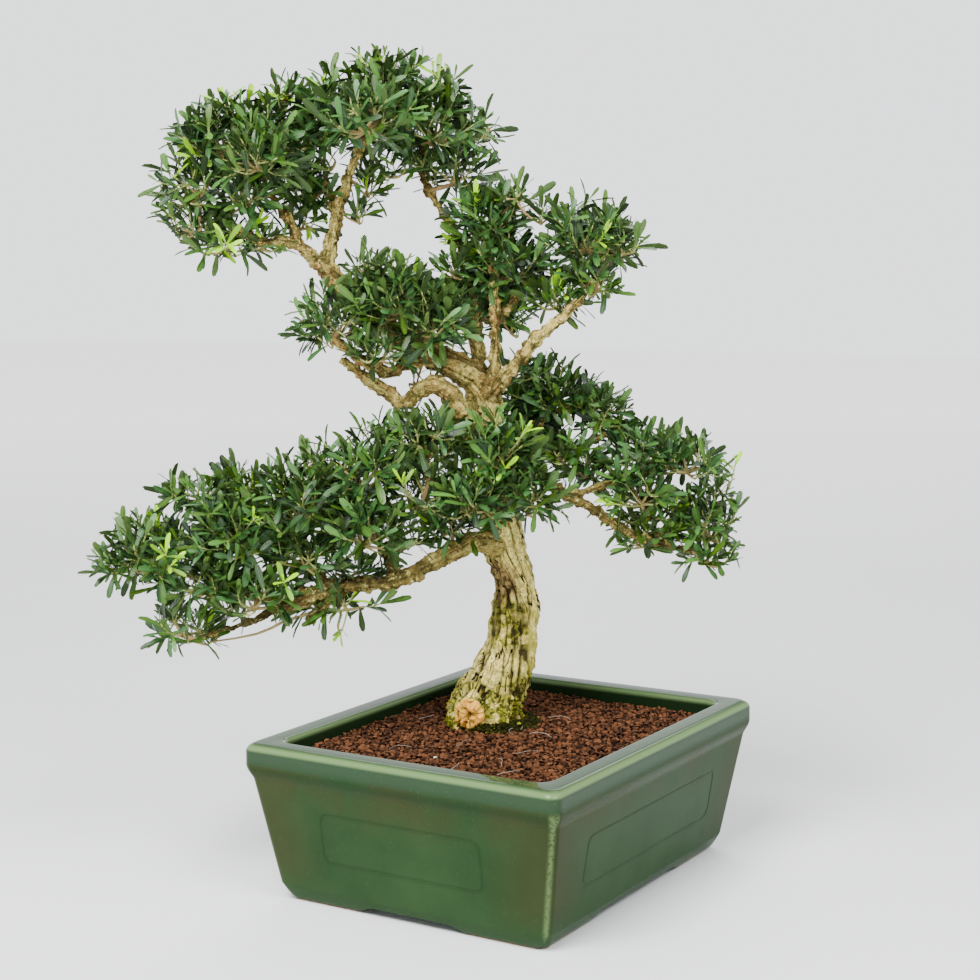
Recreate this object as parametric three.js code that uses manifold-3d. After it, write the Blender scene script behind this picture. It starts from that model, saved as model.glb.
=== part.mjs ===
// A boxwood bonsai in a green glazed rectangular pot, in millimetres with +Z up.
// X runs along the pot's short side, Y along its long side, and the pot stands on Z = 0.
// The tree has its own frame, turned about Z: x across the front view, y away from it, z up.
import * as THREE from 'three';
import { mergeVertices } from 'three/addons/utils/BufferGeometryUtils.js';
import Module from 'manifold-3d';

const wasm = await Module();
wasm.setup();

// Pot: outer sizes over the rim, then the rim, the wall and the feet
const POT_SHORT = 217;
const POT_LONG = 260;
const POT_HEIGHT = 98;
const RIM_HEIGHT = 12.6;
const RIM_OVERHANG = 1.6;
const RIM_WIDTH = 16.5;
const RIM_ROUND = 4.5;
const RIM_EDGE = 1.5;
const LIP = 2.5;
const LIP_DROP = 0.75;
const FLOOR_ROUND = 4;
const WALL_TAPER = 14.3;
const WALL_FOOT = 2.6;
const WALL_FOOT_HEIGHT = 11;
const WALL_THICKNESS = 11;
const CORNER_ROUND = 7;
const INNER_CORNER_ROUND = 11;
const FLOOR_TOP = 13;
const FOOT_HEIGHT = 5;
const ARCH_SHORT = 42;
const ARCH_LONG = 62;
const ARCH_SLOPE = 17;
const DRAIN_RADIUS = 10;
const DRAIN_SIDES = 16;
const DRAIN_OFFSET = 58;
const PANEL_LOW = 30;
const PANEL_HIGH = 61;
const PANEL_SHORT = 55;
const PANEL_LONG = 82;
const PANEL_LINE = 1.6;
const PANEL_DEPTH = 0.8;
const PANEL_ROUND = 6;

// Drainage mesh over each hole in the floor
const MESH_SIDE = 34;
const MESH_THICKNESS = 1.2;
const MESH_OPENING = 5;
const MESH_PITCH = 9;

// Soil, with its grains as relief
const SOIL_CORNER_ROUND = 14;
const SOIL_SIDE_STEPS = 6;
const SOIL_ROWS = 6;
const SOIL_TOP = 88.5;
const SOIL_CROWN = 2;
const GRAIN_RELIEF = 1.1;
const SOIL_HOLE_SIDES = 24;
const GAP = 0.35;

// Tree: where its trunk stands on the pot's axes and how far its front view is turned
const TREE_X = -24;
const TREE_Y = 18;
const TREE_TURN = THREE.MathUtils.degToRad(31.7);
const THICK_LIMB = 4.7;
const TRUNK_STEP = 24;
const LIMB_STEP = 30;
const BARK_RIDGE = 0.07;
const BARK_TWIST = 0.14;
const STUMP_BOTTOM = 60;
const STUMP_TOP = 92;
const STUMP_RADIUS = 25;
const STUMP_FLARE = 12;

// Leaves and the shoots that carry them
const LEAF_LENGTH = 21;
const LEAF_WIDTH = 5.8;
const LEAF_THICKNESS = 1.2;
const LEAF_WIDEST = 0.58;
const SHOOT_RADIUS = 1.3;
const LEAF_SPACING = 2.6;
const SHOOT_TWIST = 0.7;
const SHOOT_LEAN = 0.3;
const SHOOT_TAPER = 0.12;
const SHORTEST_SHOOT = 6.5;
const LEAST_SHOOTS = 3;
const WHORL_LEANS = [0, 1.1, 0.65];
const ROOT_DEPTH_SHARE = 0.78;
const WHORL_DEPTH = 13;
const LOWEST_SHOOT = -0.4;
const BURIED_SHARE = 0.9;
const LEAF_SIZES = [0.9, 1.1];
const UPWARD_LEAN = 0.6;
const SHOOT_TRIES = 5;
const TIP_LEAF_SHARE = 0.7;
const LOBE_AREA_PER_SHOOT = 2000;
const LEAFY_DEPTH = 12;
const SMALLEST_CORE = 6;
const CORE_LUMPS = 0.12;
const TWIG_RADIUS = 4;
const SEED = 20240611;

// Each limb is a list of points [x, y, z, radius] in the tree's frame, from its root to its tip
const TRUNK = [
  [0, 0, STUMP_BOTTOM, STUMP_RADIUS], [0, 0, STUMP_TOP, STUMP_RADIUS], [1, 0, 104, 21.5],
  [5, 0, 116, 19], [11, 0, 134, 16.5], [14, 0, 150, 14.5], [16, 0, 165, 14.6],
  [15, 0, 182, 12.8], [11, 0, 197, 12.4], [9, 0, 211, 12], [7, 0, 230, 11.5],
  [5, 0, 249, 11], [3, 0, 268, 10.5], [0, 0, 284, 10], [-3, 0, 298, 10], [-8, 0, 309, 9.5],
  [-20, 0, 318, 9], [-41, 5, 327, 8.2], [-57, 8, 336, 7.8], [-73, 5, 351, 7.4],
  [-83, 0, 360, 7], [-94, -3, 371, 6.5], [-103, -5, 381, 5.5],
];
const LIMBS = {
  stem_left: [[-2, -4, 266, 6], [-17, -14, 285, 5.5], [-30, -20, 305, 5], [-42, -20, 303, 4.8],
    [-52, -20, 295, 4.5], [-62, -18, 302, 4.2], [-74, -14, 308, 3.6], [-91, -5, 322, 2.4]],
  loop_left: [[-30, 0, 322, 5.5], [-47, -12, 323, 5], [-60, -20, 315, 4.6], [-70, -22, 320, 4.2],
    [-81, -24, 326, 3.4], [-95, -26, 338, 2.2]],
  crown_left: [[-101, -5, 377, 4.6], [-117, -10, 394, 3.8], [-137, -18, 396, 3.2], [-156, -20, 404, 2.4]],
  crown_left_top: [[-115, -10, 392, 3.2], [-129, 2, 417, 2.8], [-145, 8, 432, 2.2]],
  crown_right: [[-101, -5, 378, 4.8], [-94, 0, 407, 4], [-85, 5, 439, 3.4], [-73, 10, 466, 2.4]],
  crown_back: [[-93, 2, 410, 3.2], [-100, 18, 430, 2.6], [-104, 26, 448, 2]],
  centre_high: [[-8, 2, 308, 5], [-6, 6, 327, 4.2], [-8, 12, 359, 3.6], [-21, 18, 402, 3],
    [-39, 22, 432, 2.6], [-39, 20, 456, 2]],
  centre: [[0, -2, 300, 4.6], [4, -6, 325, 3.8], [4, -4, 365, 3], [-1, 6, 392, 2.2]],
  right_high: [[-2, -2, 298, 5], [17, -12, 319, 4.4], [32, -20, 338, 3.8], [53, -26, 357, 3.2],
    [72, -22, 380, 2.2]],
  right_high_back: [[4, -5, 345, 3.2], [28, 10, 369, 2.8], [51, 16, 373, 2.4], [74, 18, 386, 1.8]],
  right_low: [[5, 0, 228, 5.6], [19, -6, 253, 4.6], [35, -14, 246, 4], [50, -18, 237, 3.6],
    [71, -22, 226, 3.2], [94, -24, 211, 2.6], [126, -18, 203, 2]],
  right_low_tip: [[88, -24, 214, 2.6], [104, -16, 214, 2.2], [130, -4, 226, 1.7]],
  right_middle: [[5, 2, 248, 4.6], [22, 10, 256, 3.8], [51, 18, 264, 3], [78, 20, 272, 2.2]],
  right_front: [[48, -18, 238, 2.8], [76, -16, 246, 2.4], [104, -8, 258, 1.8]],
  right_back: [[3, 3, 262, 4.4], [19, 14, 273, 3.6], [35, 22, 283, 2.9], [54, 26, 292, 2.2]],
  left_low: [[11, 0, 200, 7], [-1, -12, 204, 6.2], [-12, -24, 204, 5.6], [-36, -42, 196, 4.8],
    [-58, -52, 191, 4.4], [-96, -58, 188, 3.8], [-134, -56, 181, 3.2], [-176, -50, 194, 2]],
  left_low_front: [[-94, -58, 188, 3], [-120, -64, 178, 2.6], [-150, -66, 167, 2.2], [-177, -64, 158, 1.6]],
  left_near_up: [[-56, -51, 191, 3.6], [-67, -40, 213, 3], [-78, -34, 244, 2.2]],
  left_far_up: [[-96, -58, 187, 3.2], [-112, -50, 204, 2.7], [-135, -36, 224, 2]],
  left_back: [[-66, -41, 211, 2.6], [-84, -24, 222, 2.3], [-102, -14, 230, 1.8]],
  front_low: [[9, 0, 218, 4.8], [6, -16, 231, 4], [0, -30, 238, 3.4], [-14, -46, 236, 2.2]],
  front_left: [[1, -28, 238, 3], [-20, -42, 246, 2.6], [-38, -44, 254, 2]],
  front_high: [[4, -3, 256, 4], [6, -20, 264, 3.2], [12, -34, 258, 2.2]],
  back_low: [[8, 1, 222, 4.8], [12, 22, 238, 3.8], [18, 46, 250, 2.9], [18, 62, 256, 2]],
  back_high: [[-4, 2, 306, 4.6], [-8, 22, 328, 3.6], [-14, 44, 340, 2.8], [-16, 58, 348, 2]],
};

// The sawn stub of an old branch, low on the front of the trunk
const STUB = [[-4, -6, 104, 11], [-9, -20, 103, 9.5], [-11, -27, 102, 9]];

// Each head of foliage is a list of lobes [x, y, z, radius across, radius away, radius up]
const HEADS = {
  leaves_crown_left: [[-161, -5, 460, 35, 30, 28], [-176, -14, 430, 31, 28, 26],
    [-126, 0, 462, 34, 32, 30], [-148, -10, 425, 27, 26, 22], [-146, 30, 446, 30, 28, 26],
    [-138, -34, 446, 28, 24, 24]],
  leaves_crown_right: [[-94, 4, 474, 29, 32, 29], [-64, 2, 484, 36, 32, 32],
    [-33, 12, 468, 33, 32, 33], [-20, 18, 438, 25, 24, 22], [-62, 34, 466, 31, 28, 28],
    [-74, -28, 468, 28, 26, 25]],
  leaves_middle_left: [[-92, -20, 346, 29, 24, 26], [-56, -20, 358, 33, 26, 27],
    [-34, -26, 345, 27, 22, 27], [-66, -34, 328, 22, 18, 14], [-62, 24, 362, 30, 26, 24]],
  leaves_centre: [[0, 16, 408, 29, 28, 27], [10, 14, 380, 36, 30, 30], [-6, 14, 354, 30, 26, 22]],
  leaves_right_high: [[60, -18, 398, 31, 28, 26], [82, -22, 392, 22, 20, 17],
    [66, -20, 370, 21, 21, 20], [72, 14, 392, 25, 24, 20]],
  leaves_right_middle: [[46, 28, 296, 35, 30, 26], [70, 26, 284, 24, 24, 24],
    [24, 32, 284, 24, 22, 22]],
  leaves_right_low: [[102, -8, 258, 32, 28, 25], [128, -12, 262, 28, 26, 24],
    [138, -14, 218, 26, 25, 30], [94, -22, 238, 28, 22, 18], [88, 20, 264, 25, 23, 19]],
  leaves_front: [[-38, -34, 272, 29, 26, 24], [4, -38, 266, 31, 22, 26],
    [20, -38, 242, 28, 22, 22], [-12, -48, 240, 30, 22, 25], [-42, -48, 242, 28, 22, 25]],
  leaves_left_near: [[-78, -48, 256, 33, 28, 29], [-76, -60, 222, 29, 24, 26],
    [-114, -54, 238, 34, 30, 30], [-112, -60, 208, 31, 24, 22], [-98, -18, 234, 30, 24, 24]],
  leaves_left_far: [[-156, -54, 222, 34, 30, 30], [-198, -52, 206, 35, 28, 26],
    [-172, -58, 192, 32, 28, 24], [-142, -66, 182, 28, 22, 18], [-186, -62, 166, 22, 20, 18],
    [-222, -48, 202, 20, 20, 16], [-152, -20, 214, 29, 26, 22]],
  leaves_back_low: [[16, 62, 262, 32, 28, 23], [-10, 56, 268, 24, 24, 19], [38, 60, 258, 24, 24, 18]],
  leaves_back_high: [[-16, 60, 354, 30, 27, 22], [8, 56, 360, 22, 22, 18],
    [-42, 54, 352, 23, 23, 18]],
};

const CORNERS = [[1, 1], [-1, 1], [-1, -1], [1, -1]];

// Seeded draws, so that every run gives the same tree
function randomSource(seed) {
  let state = seed;
  return () => {
    state = (state + 0x6d2b79f5) | 0;
    let mixed = Math.imul(state ^ (state >>> 15), 1 | state);
    mixed = (mixed + Math.imul(mixed ^ (mixed >>> 7), 61 | mixed)) ^ mixed;
    return ((mixed ^ (mixed >>> 14)) >>> 0) / 4294967296;
  };
}

// A closed skin over rings of points that run anticlockwise round their axis, with flat ends
function loft(rings) {
  const sides = rings[0].length;
  const positions = [];
  const index = [];
  for (const point of rings.flat()) positions.push(point.x, point.y, point.z);
  for (let level = 0; level + 1 < rings.length; level++) {
    for (let side = 0; side < sides; side++) {
      const a = level * sides + side;
      const b = level * sides + (side + 1) % sides;
      index.push(a, b, b + sides, a, b + sides, a + sides);
    }
  }
  for (const [ring, first, outward] of [[rings[0], 0, false],
    [rings.at(-1), (rings.length - 1) * sides, true]]) {
    const middle = ring.reduce((sum, point) => sum.add(point), new THREE.Vector3());
    middle.divideScalar(sides);
    const centre = positions.length / 3;
    positions.push(middle.x, middle.y, middle.z);
    for (let side = 0; side < sides; side++) {
      const a = first + side;
      const b = first + (side + 1) % sides;
      index.push(centre, outward ? a : b, outward ? b : a);
    }
  }
  const geometry = new THREE.BufferGeometry();
  geometry.setAttribute('position', new THREE.Float32BufferAttribute(positions, 3));
  geometry.setIndex(index);
  return geometry;
}

function solid(geometry) {
  const bare = geometry.clone();
  for (const name of Object.keys(bare.attributes)) {
    if (name !== 'position') bare.deleteAttribute(name);
  }
  const merged = mergeVertices(bare, 1e-4);
  return new wasm.Manifold(new wasm.Mesh({
    numProp: 3,
    vertProperties: new Float32Array(merged.attributes.position.array),
    triVerts: new Uint32Array(merged.index.array),
  }));
}

// The largest closed skin of a solid: a loose scrap is dropped and a sealed hollow is filled
function largestBody(manifold) {
  const { vertProperties, triVerts } = manifold.getMesh();
  const parent = Array.from({ length: vertProperties.length / 3 }, (_, vertex) => vertex);
  const find = (vertex) => {
    let root = vertex;
    while (parent[root] !== root) root = parent[root];
    while (parent[vertex] !== root) [parent[vertex], vertex] = [root, parent[vertex]];
    return root;
  };
  for (let corner = 0; corner < triVerts.length; corner += 3) {
    parent[find(triVerts[corner])] = find(triVerts[corner + 1]);
    parent[find(triVerts[corner + 1])] = find(triVerts[corner + 2]);
  }
  const count = new Map();
  for (const vertex of triVerts) count.set(find(vertex), (count.get(find(vertex)) ?? 0) + 1);
  const [biggest] = [...count.entries()].sort((a, b) => b[1] - a[1])[0];
  const index = [];
  for (let corner = 0; corner < triVerts.length; corner += 3) {
    if (find(triVerts[corner]) === biggest) index.push(...triVerts.slice(corner, corner + 3));
  }
  const geometry = new THREE.BufferGeometry();
  geometry.setAttribute('position', new THREE.Float32BufferAttribute(vertProperties, 3));
  geometry.setIndex(index);
  geometry.deleteAttribute('normal');
  return mergeVertices(geometry, 1e-5);
}

function union(solids) {
  return solids.reduce((sum, next) => sum.add(next));
}

function material(color, roughness, metalness = 0) {
  return new THREE.MeshStandardMaterial({ color, roughness, metalness });
}

function node(name, geometry, surface) {
  const mesh = new THREE.Mesh(geometry, surface);
  mesh.name = name;
  return mesh;
}

// One level of the pot: the rim's outline drawn in by an inset, with rounded corners
function potRing(inset, height, corner, stepsPerCorner = 3) {
  const ring = [];
  CORNERS.forEach(([signX, signY], quarter) => {
    const centreX = signX * (POT_SHORT / 2 - inset - corner);
    const centreY = signY * (POT_LONG / 2 - inset - corner);
    for (let step = 0; step <= stepsPerCorner; step++) {
      const angle = (quarter + step / stepsPerCorner) * Math.PI / 2;
      ring.push(new THREE.Vector3(
        centreX + corner * Math.cos(angle), centreY + corner * Math.sin(angle), height));
    }
  });
  return ring;
}

// The soil's outline has places along the straight sides too, for the relief of its grains
function soilRing(inset, height) {
  const corners = potRing(inset + GAP, height, SOIL_CORNER_ROUND, 1);
  return corners.flatMap((corner, order) => {
    const next = corners[(order + 1) % corners.length];
    const steps = order % 2 === 1 ? SOIL_SIDE_STEPS : 1;
    return Array.from({ length: steps }, (_, step) => corner.clone().lerp(next, step / steps));
  });
}

const wallTop = POT_HEIGHT - RIM_HEIGHT;
const wallInset = (height) => RIM_OVERHANG + WALL_TAPER * (1 - height / wallTop);
const innerInset = (height) => THREE.MathUtils.mapLinear(
  height, FLOOR_TOP, POT_HEIGHT, wallInset(FLOOR_TOP) + WALL_THICKNESS, RIM_WIDTH);

function potOutside() {
  const rings = [];
  for (const share of [0, 0.3, 0.65, 1]) {
    const height = share * WALL_FOOT_HEIGHT;
    const pulled = WALL_FOOT * (1 - Math.sqrt(1 - (1 - share) ** 2));
    rings.push(potRing(wallInset(height) + WALL_FOOT * (1 - share) + pulled, height, CORNER_ROUND));
  }
  rings.push(potRing(wallInset(wallTop - RIM_EDGE), wallTop - RIM_EDGE, CORNER_ROUND));
  rings.push(potRing(RIM_EDGE / 3, wallTop, CORNER_ROUND));
  rings.push(potRing(0, wallTop + RIM_EDGE, CORNER_ROUND));
  for (let step = 0; step <= 3; step++) {
    const angle = step / 3 * Math.PI / 2;
    const inset = RIM_ROUND * (1 - Math.cos(angle));
    const height = POT_HEIGHT - RIM_ROUND * (1 - Math.sin(angle));
    rings.push(potRing(inset, height, CORNER_ROUND));
  }
  return solid(loft(rings));
}

function potInside() {
  return solid(loft([
    potRing(innerInset(FLOOR_TOP) + FLOOR_ROUND, FLOOR_TOP, INNER_CORNER_ROUND),
    potRing(innerInset(FLOOR_TOP + FLOOR_ROUND), FLOOR_TOP + FLOOR_ROUND, INNER_CORNER_ROUND),
    potRing(innerInset(POT_HEIGHT - LIP), POT_HEIGHT - LIP, INNER_CORNER_ROUND),
    potRing(innerInset(POT_HEIGHT) - LIP_DROP, POT_HEIGHT - LIP_DROP, INNER_CORNER_ROUND),
    potRing(innerInset(POT_HEIGHT) - LIP, POT_HEIGHT, INNER_CORNER_ROUND),
    potRing(innerInset(POT_HEIGHT) - LIP, POT_HEIGHT + 1, INNER_CORNER_ROUND),
  ]));
}

// The shallow arch between two feet, as a bar that runs right under the pot
function archBar(halfSpan, length) {
  const shape = new THREE.Shape();
  shape.moveTo(-halfSpan, -1);
  shape.lineTo(-halfSpan, 0);
  shape.bezierCurveTo(-halfSpan + ARCH_SLOPE / 2, 0, -halfSpan + ARCH_SLOPE / 2, FOOT_HEIGHT,
    -halfSpan + ARCH_SLOPE, FOOT_HEIGHT);
  shape.lineTo(halfSpan - ARCH_SLOPE, FOOT_HEIGHT);
  shape.bezierCurveTo(halfSpan - ARCH_SLOPE / 2, FOOT_HEIGHT, halfSpan - ARCH_SLOPE / 2, 0,
    halfSpan, 0);
  shape.lineTo(halfSpan, -1);
  const bar = new THREE.ExtrudeGeometry(shape, { depth: length, bevelEnabled: false, curveSegments: 3 });
  bar.translate(0, 0, -length / 2);
  return bar.rotateX(Math.PI / 2);
}

// The incised line of a wall's panel: a flat rounded frame, laid on the sloping wall
function panelFrame(halfWidth, face) {
  const middle = (PANEL_LOW + PANEL_HIGH) / 2;
  const halfHeight = (PANEL_HIGH - PANEL_LOW) / 2;
  const outline = (path, grow) => {
    const x = halfWidth + grow;
    const y = halfHeight + grow;
    const corner = PANEL_ROUND + grow;
    path.moveTo(-x + corner, -y);
    path.lineTo(x - corner, -y);
    path.absarc(x - corner, -y + corner, corner, -Math.PI / 2, 0);
    path.absarc(x - corner, y - corner, corner, 0, Math.PI / 2);
    path.absarc(-x + corner, y - corner, corner, Math.PI / 2, Math.PI);
    path.absarc(-x + corner, -y + corner, corner, Math.PI, Math.PI * 1.5);
    return path;
  };
  const shape = outline(new THREE.Shape(), PANEL_LINE / 2);
  shape.holes.push(outline(new THREE.Path(), -PANEL_LINE / 2));
  const frame = new THREE.ExtrudeGeometry(shape, { depth: 6, bevelEnabled: false, curveSegments: 1 });
  frame.translate(0, 0, -PANEL_DEPTH);
  frame.rotateX(Math.PI / 2 + Math.atan(WALL_TAPER / wallTop));
  const halfPot = (face % 2 === 0 ? POT_LONG : POT_SHORT) / 2;
  frame.translate(0, -(halfPot - wallInset(middle)), middle);
  return frame.rotateZ(face * Math.PI / 2);
}

function buildPot() {
  let pot = potOutside().subtract(potInside());
  pot = pot.subtract(solid(archBar(ARCH_SHORT, POT_LONG + 20)));
  pot = pot.subtract(solid(archBar(ARCH_LONG, POT_SHORT + 20).rotateZ(Math.PI / 2)));
  for (const side of [-1, 1]) {
    const hole = new THREE.CylinderGeometry(DRAIN_RADIUS, DRAIN_RADIUS, 3 * FLOOR_TOP, DRAIN_SIDES);
    pot = pot.subtract(solid(hole.rotateX(Math.PI / 2).translate(0, side * DRAIN_OFFSET, 0)));
  }
  for (let face = 0; face < 4; face++) {
    pot = pot.subtract(solid(panelFrame(face % 2 === 0 ? PANEL_SHORT : PANEL_LONG, face)));
  }
  return largestBody(pot);
}

// A square of plastic mesh that keeps the soil out of a drain hole
function buildDrainMesh(side) {
  let sheet = solid(new THREE.BoxGeometry(MESH_SIDE, MESH_SIDE, MESH_THICKNESS));
  for (const row of [-1, 0, 1]) {
    for (const column of [-1, 0, 1]) {
      const opening = new THREE.BoxGeometry(MESH_OPENING, MESH_OPENING, 2 * MESH_THICKNESS);
      sheet = sheet.subtract(solid(opening.translate(column * MESH_PITCH, row * MESH_PITCH, 0)));
    }
  }
  const height = FLOOR_TOP + GAP + MESH_THICKNESS / 2;
  return largestBody(sheet).translate(0, side * DRAIN_OFFSET, height);
}

// The soil fills the pot to just under the rim, with a plain hole for the stump
function buildSoil() {
  const random = randomSource(SEED);
  const rings = [
    soilRing(innerInset(FLOOR_TOP) + FLOOR_ROUND, FLOOR_TOP + GAP),
    soilRing(innerInset(FLOOR_TOP + FLOOR_ROUND), FLOOR_TOP + FLOOR_ROUND + GAP),
    soilRing(innerInset(SOIL_TOP), SOIL_TOP - 1),
  ];
  for (let row = 0; row < SOIL_ROWS; row++) {
    const keep = 1 - row / SOIL_ROWS;
    const ring = soilRing(innerInset(SOIL_TOP), SOIL_TOP);
    for (const point of ring) {
      point.x = THREE.MathUtils.lerp(TREE_X, point.x, keep);
      point.y = THREE.MathUtils.lerp(TREE_Y, point.y, keep);
      point.z += SOIL_CROWN * (1 - keep) + GRAIN_RELIEF * (random() * 2 - 1);
    }
    rings.push(ring);
  }
  let soil = solid(loft(rings));
  const holeRadius = (STUMP_RADIUS + GAP) / Math.cos(Math.PI / SOIL_HOLE_SIDES);
  const depth = 2 * (SOIL_TOP - STUMP_BOTTOM);
  const hole = new THREE.CylinderGeometry(holeRadius, holeRadius, depth, SOIL_HOLE_SIDES)
    .rotateX(Math.PI / 2);
  soil = soil.subtract(solid(hole.translate(TREE_X, TREE_Y, STUMP_BOTTOM - GAP + depth / 2)));
  for (const side of [-1, 1]) {
    const pocket = new THREE.BoxGeometry(MESH_SIDE + 2 * GAP, MESH_SIDE + 2 * GAP, 4);
    const low = FLOOR_TOP + MESH_THICKNESS + 2 * GAP;
    soil = soil.subtract(solid(pocket.translate(0, side * DRAIN_OFFSET, low - 2)));
  }
  return largestBody(soil);
}

// A limb: rings round a smooth curve through its points, with its bark's ridges on the trunk
function limb(points, { sides, stepLength, grow = 0, ridge = 0, twist = 0 }) {
  const curve = new THREE.CatmullRomCurve3(
    points.map(([x, y, z]) => new THREE.Vector3(x, y, z)), false, 'centripetal');
  const steps = Math.max(points.length - 1, Math.round(curve.getLength() / stepLength));
  const rings = [];
  let across = new THREE.Vector3(1, 0, 0);
  for (let step = 0; step <= steps; step++) {
    const share = step / steps;
    const place = curve.getPoint(share);
    const along = curve.getTangent(share);
    across = across.clone().addScaledVector(along, -across.dot(along)).normalize();
    const side = new THREE.Vector3().crossVectors(along, across);
    const span = Math.min(Math.floor(share * (points.length - 1)), points.length - 2);
    const radius = THREE.MathUtils.lerp(points[span][3], points[span + 1][3],
      share * (points.length - 1) - span);
    const relief = ridge * THREE.MathUtils.smoothstep(place.z, STUMP_TOP, STUMP_TOP + STUMP_FLARE);
    rings.push(Array.from({ length: sides }, (_, corner) => {
      const angle = corner / sides * 2 * Math.PI + twist * step;
      const reach = radius * (1 + relief * (corner % 2 === 0 ? 1 : -1)) + grow;
      return place.clone()
        .addScaledVector(across, reach * Math.cos(angle))
        .addScaledVector(side, reach * Math.sin(angle));
    }));
  }
  return solid(loft(rings));
}

function buildWood(grow) {
  const trunk = limb(TRUNK, { sides: 14, stepLength: TRUNK_STEP, grow, ridge: BARK_RIDGE,
    twist: BARK_TWIST });
  const stub = limb(STUB, { sides: 9, stepLength: LIMB_STEP, grow });
  const limbs = Object.values(LIMBS).map((points) => {
    const sides = points[0][3] > THICK_LIMB ? 6 : 5;
    return limb(points, { sides, stepLength: LIMB_STEP, grow });
  });
  return union([trunk, stub, ...limbs]);
}

// A leaf: a patch of its stem's skin widens to a thin keeled blade that closes at its tip
function addLeaf({ points, index }, foot, direction, across, size, grow) {
  const up = new THREE.Vector3().crossVectors(direction, across);
  const start = foot.reduce((sum, corner) => sum.add(points[corner]), new THREE.Vector3());
  start.divideScalar(foot.length);
  const at = (share, side, lift) => start.clone()
    .addScaledVector(direction, share * LEAF_LENGTH * size + (share === 1 ? grow : 0))
    .addScaledVector(across, side * (LEAF_WIDTH * size / 2 + grow))
    .addScaledVector(up, lift * (LEAF_THICKNESS + grow));
  const left = points.push(at(LEAF_WIDEST, -1, -0.5), at(LEAF_WIDEST, 1, -0.5),
    at(LEAF_WIDEST, 0, 0.5), at(1, 0, 0)) - 4;
  const [right, keel, tip] = [left + 1, left + 2, left + 3];
  const [a, b, c, d] = foot;
  index.push(a, b, right, a, right, left, b, c, keel, b, keel, right);
  if (foot.length === 4) index.push(c, d, keel, d, a, left, d, left, keel);
  else index.push(c, a, left, c, left, keel);
  index.push(left, right, tip, right, keel, tip, keel, left, tip);
}

// A shoot: a slim three-sided stem with two whorls of three leaves and one leaf at its tip
function shoot(root, along, length, spin, size, grow) {
  const turn = new THREE.Quaternion().setFromUnitVectors(new THREE.Vector3(0, 0, 1), along)
    .multiply(new THREE.Quaternion().setFromAxisAngle(new THREE.Vector3(0, 0, 1), spin));
  const outward = (angle) => new THREE.Vector3(Math.cos(angle), Math.sin(angle), 0)
    .applyQuaternion(turn);
  const mesh = { points: [], index: [2, 1, 0] };
  [0, length - 2 * LEAF_SPACING, length - LEAF_SPACING, length].forEach((height, level) => {
    for (let corner = 0; corner < 3; corner++) {
      const angle = corner * 2 * Math.PI / 3 + level * SHOOT_TWIST;
      mesh.points.push(root.clone().addScaledVector(along, height)
        .addScaledVector(outward(angle), SHOOT_RADIUS * (1 - SHOOT_TAPER * level) + grow));
    }
  });
  WHORL_LEANS.forEach((lean, level) => {
    for (let corner = 0; corner < 3; corner++) {
      const [low, high] = [level * 3 + corner, level * 3 + (corner + 1) % 3];
      const foot = [low, high, high + 3, low + 3];
      if (level === 0) {
        mesh.index.push(foot[0], foot[1], foot[2], foot[0], foot[2], foot[3]);
        continue;
      }
      const out = outward((corner + 0.5) * 2 * Math.PI / 3 + (level + 0.5) * SHOOT_TWIST);
      const direction = along.clone().multiplyScalar(Math.cos(lean)).addScaledVector(out, Math.sin(lean));
      addLeaf(mesh, foot, direction, new THREE.Vector3().crossVectors(along, out), size, grow);
    }
  });
  const top = 3 * WHORL_LEANS.length;
  const across = mesh.points[top + 1].clone().sub(mesh.points[top]).normalize();
  addLeaf(mesh, [top, top + 1, top + 2], along, across, size * TIP_LEAF_SHARE, grow);
  const geometry = new THREE.BufferGeometry().setFromPoints(mesh.points);
  geometry.setIndex(mesh.index);
  return solid(geometry);
}

const coreRadius = (radius) => Math.max(SMALLEST_CORE, radius - LEAFY_DEPTH);

// A lobe's smaller core, with twenty uneven faces
function lobeCore([x, y, z, across, away, up], random, grow) {
  const core = mergeVertices(new THREE.IcosahedronGeometry(1, 0).deleteAttribute('normal')
    .deleteAttribute('uv'));
  core.rotateX(random() * Math.PI);
  core.rotateZ(random() * Math.PI);
  const corner = new THREE.Vector3();
  for (let vertex = 0; vertex < core.attributes.position.count; vertex++) {
    corner.fromBufferAttribute(core.attributes.position, vertex);
    corner.multiplyScalar(1 + CORE_LUMPS * (random() * 2 - 1));
    core.attributes.position.setXYZ(vertex, corner.x, corner.y, corner.z);
  }
  core.scale(coreRadius(across) + grow, coreRadius(away) + grow, coreRadius(up) + grow);
  return solid(core.translate(x, y, z));
}

// The cores of a head's lobes, each joined by a short twig to the nearest one before it
function headCore(lobes, seed, grow) {
  const random = randomSource(seed);
  const middles = lobes.map(([x, y, z]) => new THREE.Vector3(x, y, z));
  const twigs = middles.slice(1).map((middle, order) => {
    const nearest = middles.slice(0, order + 1)
      .reduce((best, other) => (other.distanceTo(middle) < best.distanceTo(middle) ? other : best));
    const twig = new THREE.CylinderGeometry(TWIG_RADIUS + grow, TWIG_RADIUS + grow,
      middle.distanceTo(nearest), 3);
    const along = middle.clone().sub(nearest).normalize();
    twig.applyQuaternion(new THREE.Quaternion().setFromUnitVectors(new THREE.Vector3(0, 1, 0), along));
    const halfway = middle.clone().lerp(nearest, 0.5);
    return solid(twig.translate(halfway.x, halfway.y, halfway.z));
  });
  return union([...lobes.map((lobe) => lobeCore(lobe, random, grow)), ...twigs]);
}

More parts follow.
